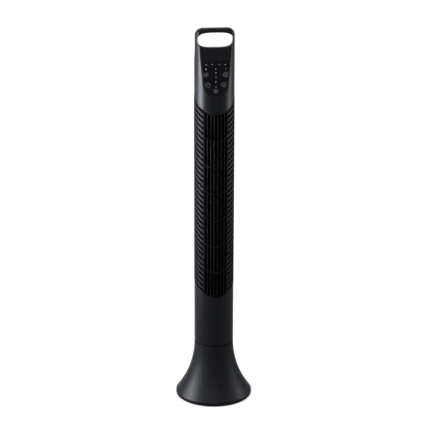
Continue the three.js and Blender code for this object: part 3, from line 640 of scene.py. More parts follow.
def piece(name, mesh, body, slot, nodes=(), bevel=None, material=None):
    """A visible piece: smooth shading, optional rounded edges, hung on its body, with the frame nodes it
    stands for hidden.
    """
    mesh.name = name
    obj = add_object(name, mesh)
    mesh.materials.clear()
    mesh.materials.append(MATERIALS[material or slot])
    mesh.shade_smooth()
    mesh.set_sharp_from_angle(angle=math.radians(SHARP_ANGLE))
    if bevel:
        add_bevel(obj, bevel, 3)
    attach(obj, body)
    if nodes:
        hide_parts(*nodes)


def filleted(corners, steps=5):
    """A closed outline from (x, y, corner radius) points."""
    outline = []
    for i, (x, y, radius) in enumerate(corners):
        here = np.array((x, y), float)
        if radius <= 0:
            outline.append(here)
            continue
        before = np.array(corners[i - 1][:2], float) - here
        after = np.array(corners[(i + 1) % len(corners)][:2], float) - here
        reach = min(np.linalg.norm(before), np.linalg.norm(after)) / 2
        before /= np.linalg.norm(before)
        after /= np.linalg.norm(after)
        half = math.acos(float(np.clip(before @ after, -1, 1))) / 2
        run = min(radius / math.tan(half), reach)
        radius = run * math.tan(half)
        middle = here + (before + after) / np.linalg.norm(before + after) * radius / math.sin(half)
        start = here + before * run - middle
        end = here + after * run - middle
        first = math.atan2(start[1], start[0])
        sweep = (math.atan2(end[1], end[0]) - first + math.pi) % (2 * math.pi) - math.pi
        for k in range(steps + 1):
            a = first + sweep * k / steps
            outline.append(middle + radius * np.array((math.cos(a), math.sin(a))))
    return outline


def lathe(profile, segments=96, closed=True):
    """A turned solid about Z from (radius, height) points; an open profile starts and ends on the axis."""
    verts, faces = [], []
    count = len(profile)
    for j in range(segments):
        a = 2 * math.pi * j / segments
        verts += [(r * math.cos(a), r * math.sin(a), z) for r, z in profile]
    for j in range(segments):
        here, there = j * count, (j + 1) % segments * count
        for i in range(count if closed else count - 1):
            k = (i + 1) % count
            faces.append((here + i, there + i, there + k, here + k))
    return mesh_from(verts, faces)


def rod(radius, low, high, segments):
    return lathe([(0, low), (radius, low), (radius, high), (0, high)], segments, False)


def prism(outline, low, high):
    """An outline in XY drawn out from low to high along Z."""
    count = len(outline)
    verts = [(x, y, low) for x, y in outline] + [(x, y, high) for x, y in outline]
    faces = [tuple(reversed(range(count))), tuple(range(count, 2 * count))]
    faces += [(i, (i + 1) % count, (i + 1) % count + count, i + count) for i in range(count)]
    return mesh_from(verts, faces)


def around(radius, degrees, z):
    a = math.radians(degrees)
    return (radius * math.sin(a), -radius * math.cos(a), z)


def spaced(first, last, count):
    return [first + (last - first) * i / count for i in range(count + 1)]


def grid(columns, rows):
    """Quads between every two neighbours of the columns and rows."""
    return [
        ((a, s), (b, s), (b, t), (a, t))
        for a, b in zip(columns, columns[1:])
        for s, t in zip(rows, rows[1:])
    ]


def shell(quads, outer, inner):
    """A wall from quads in (angle, height): outer(angle, height) and inner() give its two faces."""
    index, flat, faces = {}, [], []

    def number(point):
        key = (round(point[0] % 360, 4), round(point[1], 4))
        if key not in index:
            index[key] = len(flat)
            flat.append(point)
        return index[key]

    for quad in quads:
        ring = [number(p) for p in quad]
        ring = [v for i, v in enumerate(ring) if v != ring[i - 1]]
        if len(ring) > 2:
            faces.append(tuple(ring))
    total = len(flat)
    edges = {(ring[i], ring[(i + 1) % len(ring)]) for ring in faces for i in range(len(ring))}
    rim = [(a, b) for a, b in edges if (b, a) not in edges]
    inside = [tuple(v + total for v in reversed(ring)) for ring in faces]
    walls = [(b, a, a + total, b + total) for a, b in sorted(rim)]
    verts = [outer(*p) for p in flat] + [inner(*p) for p in flat]
    return mesh_from(verts, faces + inside + walls)


# ---- the column's curved edge


def climb(degrees):
    """Height of a casing edge or rib over its lowest point, which is at the front."""
    a = min(abs(degrees), CASING_END)
    curved = math.radians(min(a, EDGE_ROUND))
    past = math.radians(max(a - EDGE_ROUND, 0))
    return BODY_R * (1 - math.cos(curved) + EDGE_CLIMB * past)


def folded(degrees):
    return (degrees + 180) % 360 - 180


def low_edge(degrees):
    return GRILLE_LOW + climb(folded(degrees))


def high_edge(degrees):
    return GRILLE_HIGH + climb(folded(degrees))


# ---- base

BEHIND_GLAND = Matrix.Translation((0, GLAND_Y * MM, GLAND_Z * MM)) @ Matrix.Rotation(-math.pi / 2, 4, "X")


def flare(radius, high, low, count):
    """Points down the trumpet's arc, from height high to height low."""
    centre = BODY_R + FLARE_R
    first, last = (math.asin((SEAM_Z - z) / radius) for z in (high, low))
    return [
        (centre - radius * math.cos(t), SEAM_Z - radius * math.sin(t))
        for t in spaced(first, last, count)
    ]


def base_outline():
    """Half section of the base's skin: trumpet outside, rim, inside, deck and neck."""
    groove_r = BODY_R - SEAM_DEEP
    outer = [(min(r, BASE_R), z, 0) for r, z in flare(FLARE_R, SEAM_Z - SEAM_DEEP, RIM_TOP, 44)]
    outer[0] = (outer[0][0], SEAM_Z - SEAM_DEEP, 0.2)
    outer[:0] = [(groove_r, SEAM_Z, 0.2), (groove_r, SEAM_Z - 2 * SEAM_DEEP, 0.2)]
    outer[-1] = (BASE_R, RIM_TOP, 2)
    inner = flare(FLARE_R + WALL, DECK_TOP - DECK_THICK, RIM_TOP - 1, 30)
    return [
        (PLATE_R + 2.4, RIM_LOW, 0.6),
        *[(r, z, 0) for r, z in reversed(inner)],
        (BUSH_R, DECK_TOP - DECK_THICK, 0.5),
        (BUSH_R, DECK_TOP, 0.5),
        (BODY_R - WALL, DECK_TOP, 1.5),
        (BODY_R - WALL, SEAM_Z, 0.6),
        *outer,
        (BASE_R, RIM_LOW, 0.9),
    ]


def base_shell():
    skin = lathe(filleted(base_outline()), 160)
    skin = cut(skin, moved(rod(GLAND_HOLE_R, -15, 15, 40), BEHIND_GLAND))
    low, high = POST_HEIGHTS
    section = [(SCREW_HOLE_R, low, 0.3), (POST_R, low, 0.4), (POST_R, high, 0), (SCREW_HOLE_R, high, 0)]
    tube = lathe(filleted(section), 32)
    posts = [on_ring(tube, BASE_SCREW_RING, angle) for angle in BASE_SCREW_ANGLES]
    piece("base_skin", joined([skin, *posts]), "base", "body_black", ["base_shell"], material="base_black")


def seam_ring():
    """A black ring in the seam between the base and the tower: a dark part that paints the seam's shade."""
    low, high = SEAM_Z - 2 * SEAM_DEEP + 0.1, SEAM_Z + 0.6
    inside, outside = BODY_R - SEAM_DEEP + 0.05, BODY_R - SEAM_DEEP + 0.5
    ring = lathe([(inside, low), (outside, low), (outside, high), (inside, high)], 160)
    # painted shade: this black ring stands in for the shadow inside the seam gap
    piece("seam_shadow_ring", ring, "base", "inner_black")


def base_plate():
    """The bottom cover, with raised stiffening rings and a hole for each screw."""
    top = PLATE_LOW + PLATE_THICK
    profile = [(0, PLATE_LOW), (30, PLATE_LOW)]
    for radius in (32, 62, 88):
        profile += [(radius, PLATE_LOW), (radius + 0.6, PLATE_LOW + 0.5)]
        profile += [(radius + 2, PLATE_LOW + 0.5), (radius + 2.6, PLATE_LOW)]
    profile += [(PLATE_R - 0.6, PLATE_LOW), (PLATE_R, PLATE_LOW + 0.6), (PLATE_R, top - 0.3)]
    profile += [(PLATE_R - 0.3, top), (0, top)]
    plate = lathe(profile, 128, False)
    hole = rod(SCREW_HOLE_R, -1, 9, 32)
    for angle in BASE_SCREW_ANGLES:
        plate = cut(plate, on_ring(hole, BASE_SCREW_RING, angle))
    piece("bottom_cover", plate, "base", "inner_black", ["base_plate"], material="cover_black")


def feet():
    """Rubber feet with a rounded rim and two grip grooves underneath."""
    high = PLATE_LOW - GAP
    profile = [(0, 0), (3, 0), (3.3, 0.4), (4.3, 0.4), (4.6, 0)]
    profile += [(6.2, 0), (6.5, 0.4), (7.3, 0.4), (7.6, 0), (8.2, 0), (8.75, 0.25)]
    profile += [(FOOT_R, 0.8), (FOOT_R, high - 0.3), (FOOT_R - 0.3, high), (0, high)]
    pad = lathe(profile, 48, False)
    for i in range(FOOT_COUNT):
        mesh = on_ring(pad, FOOT_RING, 360 / FOOT_COUNT * i)
        piece(f"rubber_foot_{i + 1}", mesh, "base", "rubber_black", [f"foot_{i + 1}"])


def screw_mesh(head_r, head_high, length):
    """A pan-head screw pointing up from its head, with a rolled thread and a cross recess."""
    pitch, root = 1.1, SCREW_R * 0.8
    profile = [(0, -head_high), (head_r * 0.5, -head_high), (head_r * 0.8, -head_high * 0.86)]
    profile += [(head_r * 0.96, -head_high * 0.5), (head_r, -head_high * 0.2), (head_r, 0), (SCREW_R, 0)]
    for i in range(int((length - 2) / pitch)):
        z = 1 + i * pitch
        profile += [(root, z), (SCREW_R, z + pitch / 2)]
    profile += [(root, length - 0.8), (0, length)]
    body = lathe(profile, 40, False)
    arm, half, deep = head_r * 0.58, 0.375, head_high * 0.55
    outline = [(-arm, -half), (arm, -half), (arm, half), (-arm, half)]
    slot = prism(outline, -head_high - 1, -head_high + deep)
    for turn in (0, 90):
        body = cut(body, moved(slot, Matrix.Rotation(math.radians(turn), 4, "Z")))
    return body


def base_screws():
    mesh = screw_mesh(head_r=3.6, head_high=1.6, length=16)
    for i, angle in enumerate(BASE_SCREW_ANGLES):
        place = on_ring(mesh, BASE_SCREW_RING, angle, PLATE_LOW - GAP)
        piece(f"base_cross_screw_{i + 1}", place, "base", "steel", [f"base_screw_{i + 1}"])


def cord_gland():
    """The ribbed inlet sleeve for a flat twin lead."""
    start, flange, end = -12.5, -9, 8.5
    neck_r, groove_r, flange_r, rib, pitch = 5.5, 4.7, 7.5, 1.2, 2.3
    profile = [(0, start), (flange_r - 0.3, start), (flange_r, start + 0.3)]
    profile += [(flange_r, flange - 0.3), (flange_r - 0.3, flange), (neck_r, flange), (neck_r, rib)]
    for i in range(3):
        z = rib + pitch * i
        profile += [(groove_r, z + 0.4), (groove_r, z + 1.2), (neck_r, z + 1.6), (neck_r, z + pitch)]
    profile += [(neck_r - 0.1, end - 0.4), (neck_r - 0.5, end), (0, end)]
    bore = filleted([(2.8, -1.8, 1.79), (2.8, 1.8, 1.79), (-2.8, 1.8, 1.79), (-2.8, -1.8, 1.79)], 8)
    sleeve = cut(lathe(profile, 48, False), prism(bore, start - 5, end + 5))
    piece("cord_inlet_sleeve", moved(sleeve, BEHIND_GLAND), "base", "rubber_black", ["cord_gland"])


# ---- column and casings


def lower_housing():
    """The plain tube under the casings, with its curved upper edge and the inner screw ledge."""
    low = SEAM_Z + 1

    def wall(radius):
        return lambda a, t: around(radius, a, low + t * (low_edge(a) - GAP - low))

    quads = grid(spaced(-180, 180, 120), spaced(0, 1, 6))
    skin = shell(quads, wall(BODY_R), wall(BODY_R - WALL))
    inner, rim, bottom, top = LEDGE_R, BODY_R - WALL + 0.5, LEDGE_LOW, LEDGE_HIGH
    ledge = lathe(filleted([(inner, bottom, 0.4), (rim, bottom, 0), (rim, top, 0), (inner, top, 0.4)]), 96)
    piece("column_tube", joined([skin, ledge]), "tower", "body_black", ["lower_housing"], bevel=0.5)


def slotted(lines, lanes, half_at, open_at):
    """Quads of a sheet with equal slots: lines run across them, and each lane (from, to) holds one.

    half_at(line) is half the slot's width there, and open_at(here, next) says if the slot is open
    between two lines.
    """
    quads = []
    for here, there in zip(lines, lines[1:]):
        for low, high in lanes:
            middle = (low + high) / 2
            knots = [
                (low, low),
                (middle - half_at(here), middle - half_at(there)),
                (middle + half_at(here), middle + half_at(there)),
                (high, high),
            ]
            for part in range(3):
                if part == 1 and open_at(here, there):
                    continue
                (a, b), (c, d) = knots[part], knots[part + 1]
                quads.append(((here, a), (there, b), (there, d), (here, c)))
    return quads


def rounded_end(distance, half, radius):
    """Half width of a slot at a distance from its end, with rounded corners."""
    if distance >= radius:
        return half
    return half - radius + math.sqrt(max(radius**2 - (radius - distance) ** 2, 0))


def casing_wall(radius):
    return lambda a, v: around(radius, a, low_edge(a) + v)


def casing_face(a, v):
    """The front shell's outer face: it sinks across the rails to frame the outlet."""
    share = min(max((RAIL_OUT - abs(a)) / (RAIL_OUT - RAIL_IN), 0), 1)
    return around(CASING_R - RAIL_SINK * share, a, low_edge(a) + v)


def ribbed_side():
    """Quads of the right side's slanting slots, in (angle, height over the lower edge)."""
    half = SLOT_PITCH * SLOT_SHARE / 2
    lanes = [(i * SLOT_PITCH, (i + 1) * SLOT_PITCH) for i in range(SLOT_ROWS)]
    turn = [SLOT_CORNER * (1 - math.cos(math.radians(a))) / PER_DEGREE for a in (0, 30, 60, 90)]
    lines = [RAIL_IN, *[RAIL_OUT + t for t in turn], *spaced(RAIL_OUT + 5, SLOT_END - 5, 12)]
    lines += [*[SLOT_END - t for t in reversed(turn)], (SLOT_END + CASING_END) / 2, CASING_END]

    def half_at(a):
        inside = min(a - RAIL_OUT, SLOT_END - a) * PER_DEGREE
        return rounded_end(max(inside, 0), half, SLOT_CORNER)

    def open_at(here, there):
        return here >= RAIL_OUT - 1e-6 and there <= SLOT_END + 1e-6

    return slotted(lines, lanes, half_at, open_at)


def outlet_borders():
    """Quads of the strips over and under the outlet, which round off its corners."""
    corner = SLOT_PITCH * (1 - SLOT_SHARE) / 2 + SLOT_CORNER - BORDER
    turn = [corner * (1 - math.cos(math.radians(a))) / PER_DEGREE for a in (0, 22.5, 45, 67.5, 90)]
    side = [RAIL_IN - t for t in turn] + spaced(RAIL_IN - turn[-1] - 2.5, 0, 7)
    across = [-a for a in side] + side[-2::-1]

    def border(a):
        distance = min((RAIL_IN - abs(a)) * PER_DEGREE, corner)
        return BORDER + corner - rounded_end(distance, corner, corner)

    strips = []
    for a, b in zip(across, across[1:]):
        top_a, top_b = CASING_HIGH - border(a), CASING_HIGH - border(b)
        strips.append(((a, 0), (b, 0), (b, border(b)), (a, border(a))))
        strips.append(((a, top_a), (b, top_b), (b, CASING_HIGH), (a, CASING_HIGH)))
    return strips


def front_casing():
    """The ribbed front shell: 35 slanting slots a side, and the framed air outlet between them."""
    side = ribbed_side()
    mirrored = [tuple((-a, v) for a, v in reversed(quad)) for quad in side]
    mesh = shell(side + mirrored + outlet_borders(), casing_face, casing_wall(RIB_IN))
    piece("ribbed_front_shell", mesh, "tower", "ribbed_black", ["front_casing"], bevel=0.35)


def rear_lines():
    """The heights at which the back shell is divided, and the (low, high) of each band of slots."""
    low, high = low_edge(CASING_END), high_edge(CASING_END)
    band = (high - low - REAR_MARGIN) / REAR_BANDS
    radius = REAR_SLOT_WIDE / 2
    turn = [radius * (1 - math.cos(math.radians(a))) for a in (0, 22.5, 45, 67.5, 90)]
    lines, ends = [low], []
    for i in range(REAR_BANDS):
        start = low + REAR_MARGIN + band * i
        end = start + band - REAR_MARGIN
        ends.append((start, end))
        lines += [start + t for t in turn] + spaced(start + radius + 6, end - radius - 6, 3)
        lines += [end - t for t in reversed(turn)]
    return [*lines, high], ends


def rear_casing():
    """The back shell: five bands of upright intake slots."""
    radius = REAR_SLOT_WIDE / 2
    lines, ends = rear_lines()
    edges = spaced(CASING_END, 360 - CASING_END, REAR_COLUMNS)
    edges[0] += REAR_SEAM
    edges[-1] -= REAR_SEAM

    def half_at(z):
        inside = max(min(z - a, b - z) for a, b in ends)
        return rounded_end(max(inside, 0), radius, radius) / PER_DEGREE

    def open_at(here, there):
        return any(a - 1e-6 <= here and there <= b + 1e-6 for a, b in ends)

    quads = slotted(lines, list(zip(edges, edges[1:])), half_at, open_at)
    quads = [tuple((angle, z) for z, angle in reversed(quad)) for quad in quads]
    mesh = shell(quads, lambda a, z: around(CASING_R, a, z), lambda a, z: around(CASING_IN, a, z))
    for angle, z in REAR_SCREWS:
        mesh = cut(mesh, moved(rod(SCREW_HOLE_R, 50, 70, 24), spoke(angle, z)))
    piece("slotted_rear_shell", mesh, "tower", "ribbed_black", ["rear_casing"], bevel=0.45)


def spoke(degrees, z):
    """Turns +Z outwards along the radius at an angle, at height z."""
    x, y, _ = around(1, degrees, 0)
    turn = Vector((0, 0, 1)).rotation_difference(Vector((x, y, 0))).to_matrix().to_4x4()
    return Matrix.Translation((0, 0, z * MM)) @ turn


REAR_SCREWS = [
    (angle, z)
    for z in (low_edge(CASING_END) + REAR_MARGIN / 2, high_edge(CASING_END) - REAR_MARGIN / 2)
    for angle in REAR_SCREW_ANGLES
]


def rear_screws():
    mesh = screw_mesh(head_r=3.4, head_high=1.4, length=8)
    inward = Matrix.Translation((0, 0, (CASING_R + GAP) * MM)) @ Matrix.Rotation(math.pi, 4, "X")
    for i, (angle, z) in enumerate(REAR_SCREWS):
        placed = moved(mesh, spoke(angle, z) @ inward)
        piece(f"rear_cross_screw_{i + 1}", placed, "tower", "steel", [f"rear_screw_{i + 1}"])


def grille_bar(x):
    """One upright bar, a little narrower at its back."""
    half, front = BAR_WIDE / 2, -math.sqrt(BAR_FACE_R**2 - x**2)
    outer = math.degrees(math.asin((abs(x) + half) / (BAR_FACE_R - BAR_DEEP)))
    inner = math.degrees(math.asin((abs(x) - half) / BAR_FACE_R))
    section = [
        (x - half, front, 1.2),
        (x + half, front, 1.2),
        (x + half * 0.8, front + BAR_DEEP, 0.8),
        (x - half * 0.8, front + BAR_DEEP, 0.8),
    ]
    return prism(filleted(section), low_edge(outer) + BORDER + GAP, high_edge(inner) - BORDER - GAP)


def front_grille():
    """Upright bars behind curved rings, moulded in one."""
    mesh = joined([grille_bar((i - (BAR_COUNT - 1) / 2) * BAR_PITCH) for i in range(BAR_COUNT)])
    angles = spaced(-RAIL_IN + 0.4, RAIL_IN - 0.4, 24)
    outer, inner = casing_wall(CASING_R - RAIL_SINK + 0.3), casing_wall(RING_IN)
    for i in range(1, RING_COUNT + 1):
        middle = i * CASING_HIGH / (RING_COUNT + 1)
        quads = grid(angles, [middle - RING_HIGH / 2, middle + RING_HIGH / 2])
        mesh = combined(mesh, softened(shell(quads, outer, inner), 0.6), "UNION")
    piece("outlet_grille", mesh, "tower", "ribbed_black", ["front_grille"])


# ---- fan wheel


def blade_outline():
    """Section of one blade: curved, thinner at its edges, and leaning in the wheel's rim."""
    deep, thick, sag, lean, count = 10, 1.2, 1.3, math.radians(35), 8
    outline = []
    for side in (1, -1):
        for i in range(count + 1):
            t = i / count if side > 0 else 1 - i / count
            across = sag * (1 - (2 * t - 1) ** 2) + side * thick / 2 * (0.55 + 0.45 * math.sin(math.pi * t))
            along = (t - 0.5) * deep
            x = across * math.cos(lean) - along * math.sin(lean)
            y = across * math.sin(lean) + along * math.cos(lean)
            outline.append((x, y - WHEEL_R + 5.6))
    return outline


def wheel_cap(z):
    """The closed upper disc with its cone and stub shaft."""
    top = z + DISC_THICK
    profile = [(0, z), (WHEEL_R - 0.4, z), (WHEEL_R, z + 0.4), (WHEEL_R, top - 0.4), (WHEEL_R - 0.4, top)]
    profile += [(8, top), (6, top + 0.8), (SHAFT_R, top + 1.1), (SHAFT_R, SHAFT_TOP - 0.4)]
    return lathe([*profile, (SHAFT_R - 0.4, SHAFT_TOP), (0, SHAFT_TOP)], 96, False)


def fan_wheel():
    """A cross-flow wheel: curved blades between discs, with its upper stub shaft."""
    fin = prism(blade_outline(), WHEEL_LOW + DISC_THICK / 2, WHEEL_HIGH - DISC_THICK / 2)
    turns = [Matrix.Rotation(2 * math.pi * i / WHEEL_BLADES, 4, "Z") for i in range(WHEEL_BLADES)]
    parts = [moved(fin, turn) for turn in turns]
    levels = spaced(WHEEL_LOW, WHEEL_HIGH - DISC_THICK, WHEEL_SECTIONS)
    for z in levels[:-1]:
        hole = HUB_R if z == WHEEL_LOW else DISC_HOLE_R
        top = z + DISC_THICK
        disc = [(hole, z, 0.3), (WHEEL_R, z, 0.5), (WHEEL_R, top, 0.5), (hole, top, 0.3)]
        parts.append(lathe(filleted(disc, 3), 96))
    parts.append(wheel_cap(levels[-1]))
    piece("crossflow_wheel", joined(parts), "fan_rotor", "inner_black", ["fan_wheel"])


# ---- head

LEAN_COS, LEAN_SIN = math.cos(POCKET_LEAN), math.sin(POCKET_LEAN)
POCKET_FRAME = Matrix.Translation((0, POCKET_Y * MM, POCKET_Z * MM)) @ Matrix.Rotation(-POCKET_LEAN, 4, "X")


def cut_round(a, b, radius):
    """Distance to what two shapes share, with the edge between them rounded."""
    over = np.hypot(np.maximum(a + radius, 0), np.maximum(b + radius, 0))
    return np.minimum(-radius, np.maximum(a, b)) + over


def hand_hole(x, y, z):
    """Signed distance to the hand opening, a rounded box whose floor falls to the back."""
    half_high = (HANDLE_HIGH - HANDLE_LOW) / 2
    over_middle = z - (HANDLE_LOW + HANDLE_HIGH) / 2
    fall = HANDLE_FALL * np.maximum(y - POCKET_Y - 8, 0) * np.clip(-over_middle / half_high, 0, 1)
    across, up = np.abs(x) / HANDLE_HALF, np.abs(over_middle + fall) / half_high
    power = HANDLE_POWER
    level = np.maximum(across**power + up**power, 1e-6)
    size = level ** (1 / power)
    slope = size / level * np.hypot(across ** (power - 1) / HANDLE_HALF, up ** (power - 1) / half_high)
    return (size - 1) / np.maximum(slope, 0.012)


def head_distance(x, y, z):
    """Signed distance to the head's skin: negative in the plastic."""
    deep = (y - POCKET_Y) * LEAN_COS - (z - POCKET_Z) * LEAN_SIN
    up = (y - POCKET_Y) * LEAN_SIN + (z - POCKET_Z) * LEAN_COS
    column = np.hypot(x, y) - BODY_R
    across = np.abs(x) - (BODY_R - TOP_CORNER_R)
    above = z - (HEIGHT - TOP_CORNER_R)
    outline = np.hypot(np.maximum(across, 0), np.maximum(above, 0))
    outline = outline + np.minimum(np.maximum(across, above), 0) - TOP_CORNER_R
    near_top = np.clip((z - (HEIGHT - TOP_CORNER_R - 2)) / 22, 0, 1)
    head = cut_round(column, outline, 0.02 + TOP_EDGE * near_top**2 * (3 - 2 * near_top))
    spread = np.maximum(up - POCKET_ROUND_Z, 0)
    sides = np.hypot(x, np.minimum(up - POCKET_ROUND_Z, 0)) - POCKET_ROUND_R - spread
    pocket = cut_round(deep, sides, POCKET_EDGE)
    head = cut_round(head, -pocket, OPENING_EDGE)
    cove = np.hypot(np.minimum(y - BACK_Y - COVE_R, 0), np.minimum(z - COVE_TOP, 0)) - COVE_R
    head = cut_round(head, -cove, COVE_EDGE)
    head = cut_round(head, -hand_hole(x, y, z), OPENING_EDGE)
    behind_floor = np.minimum(FLOOR_THICK - deep, z - FLOOR_LOW)
    cavity = cut_round(column + HEAD_WALL, z - (HANDLE_LOW - 12), INNER_EDGE)
    cavity = cut_round(cavity, behind_floor, 1.0)
    cavity = cut_round(cavity, HEAD_WALL - cove, INNER_EDGE)
    return cut_round(head, -cavity, 0.6)


def cell_points(field, cells):
    """For each grid cell that the surface crosses, the mean of the crossings on its twelve edges."""
    total, hits = np.zeros((len(cells), 3)), np.zeros(len(cells))
    for axis, along in enumerate(np.eye(3, dtype=int)):
        for first, second in ((0, 0), (0, 1), (1, 0), (1, 1)):
            offset = np.insert((first, second), axis, 0)
            start, end = cells + offset, cells + offset + along
            a, b = field[tuple(start.T)], field[tuple(end.T)]
            crossing = (a < 0) != (b < 0)
            share = np.where(crossing, a / np.where(crossing, a - b, 1), 0)
            total += (offset + share[:, None] * along) * crossing[:, None]
            hits += crossing
    return cells + total / hits[:, None]


def cell_faces(inside, number):
    """A quad between the four cells round each grid edge that the surface crosses."""
    faces = []
    steps = np.eye(3, dtype=int)
    for axis in range(3):
        one, two = (axis + 1) % 3, (axis + 2) % 3
        near = np.argwhere(np.diff(inside.astype(np.int8), axis=axis) != 0)
        for side in (one, two):
            near = near[(near[:, side] > 0) & (near[:, side] < number.shape[side])]
        ring = [near - steps[one] - steps[two], near - steps[two], near, near - steps[one]]
        quads = np.stack([number[tuple(r.T)] for r in ring], axis=1)
        outward = inside[tuple(near.T)]
        faces.append(np.where(outward[:, None], quads, quads[:, ::-1]))
    faces = np.concatenate(faces)
    return faces[(faces >= 0).all(axis=1)]


def surface_of(distance, low, high, step):
    """Quads on the zero surface of a distance function, by naive surface nets and a few Newton steps."""
    axes = [np.arange(a, b + step, step) for a, b in zip(low, high)]
    field = distance(*np.meshgrid(*axes, indexing="ij"))
    inside = field < 0
    rows, columns, layers = shape = np.array(field.shape) - 1
    count = sum(
        inside[i : rows + i, j : columns + j, k : layers + k].astype(np.int8)
        for i, j, k in np.ndindex(2, 2, 2)
    )
    cells = np.argwhere((count > 0) & (count < 8))
    number = np.full(tuple(shape), -1, np.int64)
    number[tuple(cells.T)] = np.arange(len(cells))
    points = cell_points(field, cells) * step + np.array([a[0] for a in axes])
    for _ in range(4):
        slope = slope_of(distance, points)
        steep = np.maximum((slope**2).sum(axis=1), 0.3)
        move = (distance(*points.T) / steep)[:, None] * slope
        points = points - np.clip(move, -step / 2, step / 2)
    return points, cell_faces(inside, number)


def slope_of(distance, points, small=0.02):
    """Numeric gradient of a distance function at many points."""
    sides = [distance(*(points + small * e).T) - distance(*(points - small * e).T) for e in np.eye(3)]
    return np.stack(sides, axis=1) / (2 * small)


def shade_from(mesh, distance, near=0.04, agree=0.75):
    """Takes the shading of every corner that lies on a distance function's surface from its gradient.

    A corner counts if it is within near of the surface and its face roughly agrees with the gradient.
    """
    count = len(mesh.loops)
    verts = np.zeros(len(mesh.vertices) * 3)
    mesh.vertices.foreach_get("co", verts)
    verts = verts.reshape(-1, 3) / MM
    corner = np.zeros(count, np.int64)
    mesh.loops.foreach_get("vertex_index", corner)
    normals = np.array([n.vector for n in mesh.corner_normals])
    facing_out = np.zeros(len(mesh.polygons) * 3)
    mesh.polygons.foreach_get("normal", facing_out)
    sizes = np.zeros(len(mesh.polygons), np.int64)
    mesh.polygons.foreach_get("loop_total", sizes)
    flat = np.repeat(facing_out.reshape(-1, 3), sizes, axis=0)
    slope = slope_of(distance, verts)
    slope /= np.maximum(np.linalg.norm(slope, axis=1), 1e-6)[:, None]
    on_surface = np.abs(distance(*verts.T))[corner] < near
    smooth = slope[corner]
    fits = on_surface & ((smooth * flat).sum(axis=1) > agree)
    normals[fits] = smooth[fits]
    mesh.normals_split_custom_set(normals.tolist())


def panel_outline(grow):
    """The panel's outline, across and up: a rounded lower end and sides that spread a little."""
    lower = [
        (
            (PANEL_HALF_LOW + grow) * math.cos(math.radians(a)),
            POCKET_ROUND_Z + (PANEL_DROP + grow) * math.sin(math.radians(a)),
        )
        for a in spaced(180, 360, 48)
    ]
    half, top, corner = PANEL_HALF_TOP + grow, PANEL_TOP + grow, 2.0 + grow
    ends = filleted([(*lower[-1], 0), (half, top, corner), (-half, top, corner), (*lower[0], 0)])
    return lower + [tuple(p) for p in ends[1:-1]]


def facing(mesh):
    """Stands a shape drawn in XY on the pocket floor: Y runs up the floor and Z comes out of it."""
    return moved(mesh, POCKET_FRAME @ Matrix.Rotation(math.radians(90), 4, "X"))


def head_housing():
    """The head's skin, trimmed along the casings' curved edge and opened for the panel."""
    reach, low = BODY_R + 3.1, 903.3  # half width and lower end of the sampled box
    closed_at, cut_low = 906, 890

    def above_casings(x, y, z):
        return np.maximum(head_distance(x, y, z), closed_at - z)

    def under_edge(radius):
        return lambda a, t: around(radius, a, cut_low + t * (high_edge(a) + GAP - cut_low))

    points, faces = surface_of(above_casings, (-reach, -reach, low), (reach, reach, HEIGHT + 3), HEAD_STEP)
    mesh = mesh_from(points.tolist(), faces.tolist())
    quads = grid(spaced(-180, 180, 120), (0, 1))
    mesh = cut(mesh, shell(quads, under_edge(BODY_R + 6), under_edge(BODY_R - 9)))
    mesh = cut(mesh, facing(prism(panel_outline(GAP), -PANEL_THICK - GAP, 6)))
    mesh = cut(mesh, facing(prism(panel_outline(-2.4), -12, 6)))
    mesh = softened(mesh, 0.35, angle=62)
    piece("head_shell", mesh, "tower", "body_black", ["head_housing"])
    shade_from(mesh, head_distance)


# ---- control panel


def flat_shape(loops, thickness, bevel=0.0):
    """A plate from closed outlines in XY: the first is its edge and the others are holes."""
    curve = bpy.data.curves.new("outline", "CURVE")
    curve.dimensions = "2D"
    curve.fill_mode = "BOTH"
    curve.extrude = (thickness / 2 - bevel) * MM
    curve.bevel_depth = bevel * MM
    curve.bevel_resolution = 2
    curve.offset = -bevel * MM
    for loop in loops:
        spline = curve.splines.new("POLY")
        spline.points.add(len(loop) - 1)
        for point, (x, y) in zip(spline.points, loop):
            point.co = (x * MM, y * MM, 0, 1)
        spline.use_cyclic_u = True
    obj = add_object("outline", curve)
    mesh = evaluated(obj)
    bpy.data.objects.remove(obj)
    return cleaned(mesh)


def circle(x, y, radius, count=48):
    turns = [2 * math.pi * i / count for i in range(count)]
    return [(x + radius * math.cos(a), y + radius * math.sin(a)) for a in turns]


def rounded_box(x, y, wide, high, corner):
    a, b = wide / 2, high / 2
    corners = [(x + i * a, y + j * b, corner) for i, j in ((-1, -1), (1, -1), (1, 1), (-1, 1))]
    return [tuple(p) for p in filleted(corners, 4)]


def control_panel():
    holes = [circle(x, y, BUTTON_R + 2 * GAP) for x, y in BUTTONS.values()]
    holes += [rounded_box(x, y, wide + 0.3, high + 0.3, 0.7) for x, y, wide, high in LIGHTS]
    plate = flat_shape([panel_outline(0), *holes], PANEL_THICK, 0.2)
    plate = facing(shifted(plate, z=-PANEL_THICK / 2))
    piece("gloss_control_panel", plate, "tower", "panel_gloss", ["control_panel"])


def light_guide():
    """One clear moulding behind the panel, with a frosted lens standing into each opening."""
    back = -PANEL_THICK - 0.7
    parts = [
        prism(rounded_box(0, 13, 64, 22, 2), back - 1.2, back),
        prism(rounded_box(0, -15, 8, 40, 2), back - 1.2, back),
    ]
    for x, y, wide, high in LIGHTS:
        lens = prism(rounded_box(x, y, wide, high, 0.6), back - 0.4, 0.05)
        parts.append(softened(lens, 0.2))
    mesh = joined([facing(part) for part in parts])
    piece("light_guide_lenses", mesh, "tower", "lens_clear", ["light_guide"])
    x, y, wide, high = LIGHTS[LIT]
    glow = softened(prism(rounded_box(x, y, wide - 0.1, high - 0.1, 0.6), 0, 0.12), 0.05)
    piece("lit_lens_face", facing(glow), "tower", "lens_clear", material="lens_lit")


def bar(x, y, wide, high):
    return [rounded_box(x, y, wide, high, min(wide, high) * 0.45)]


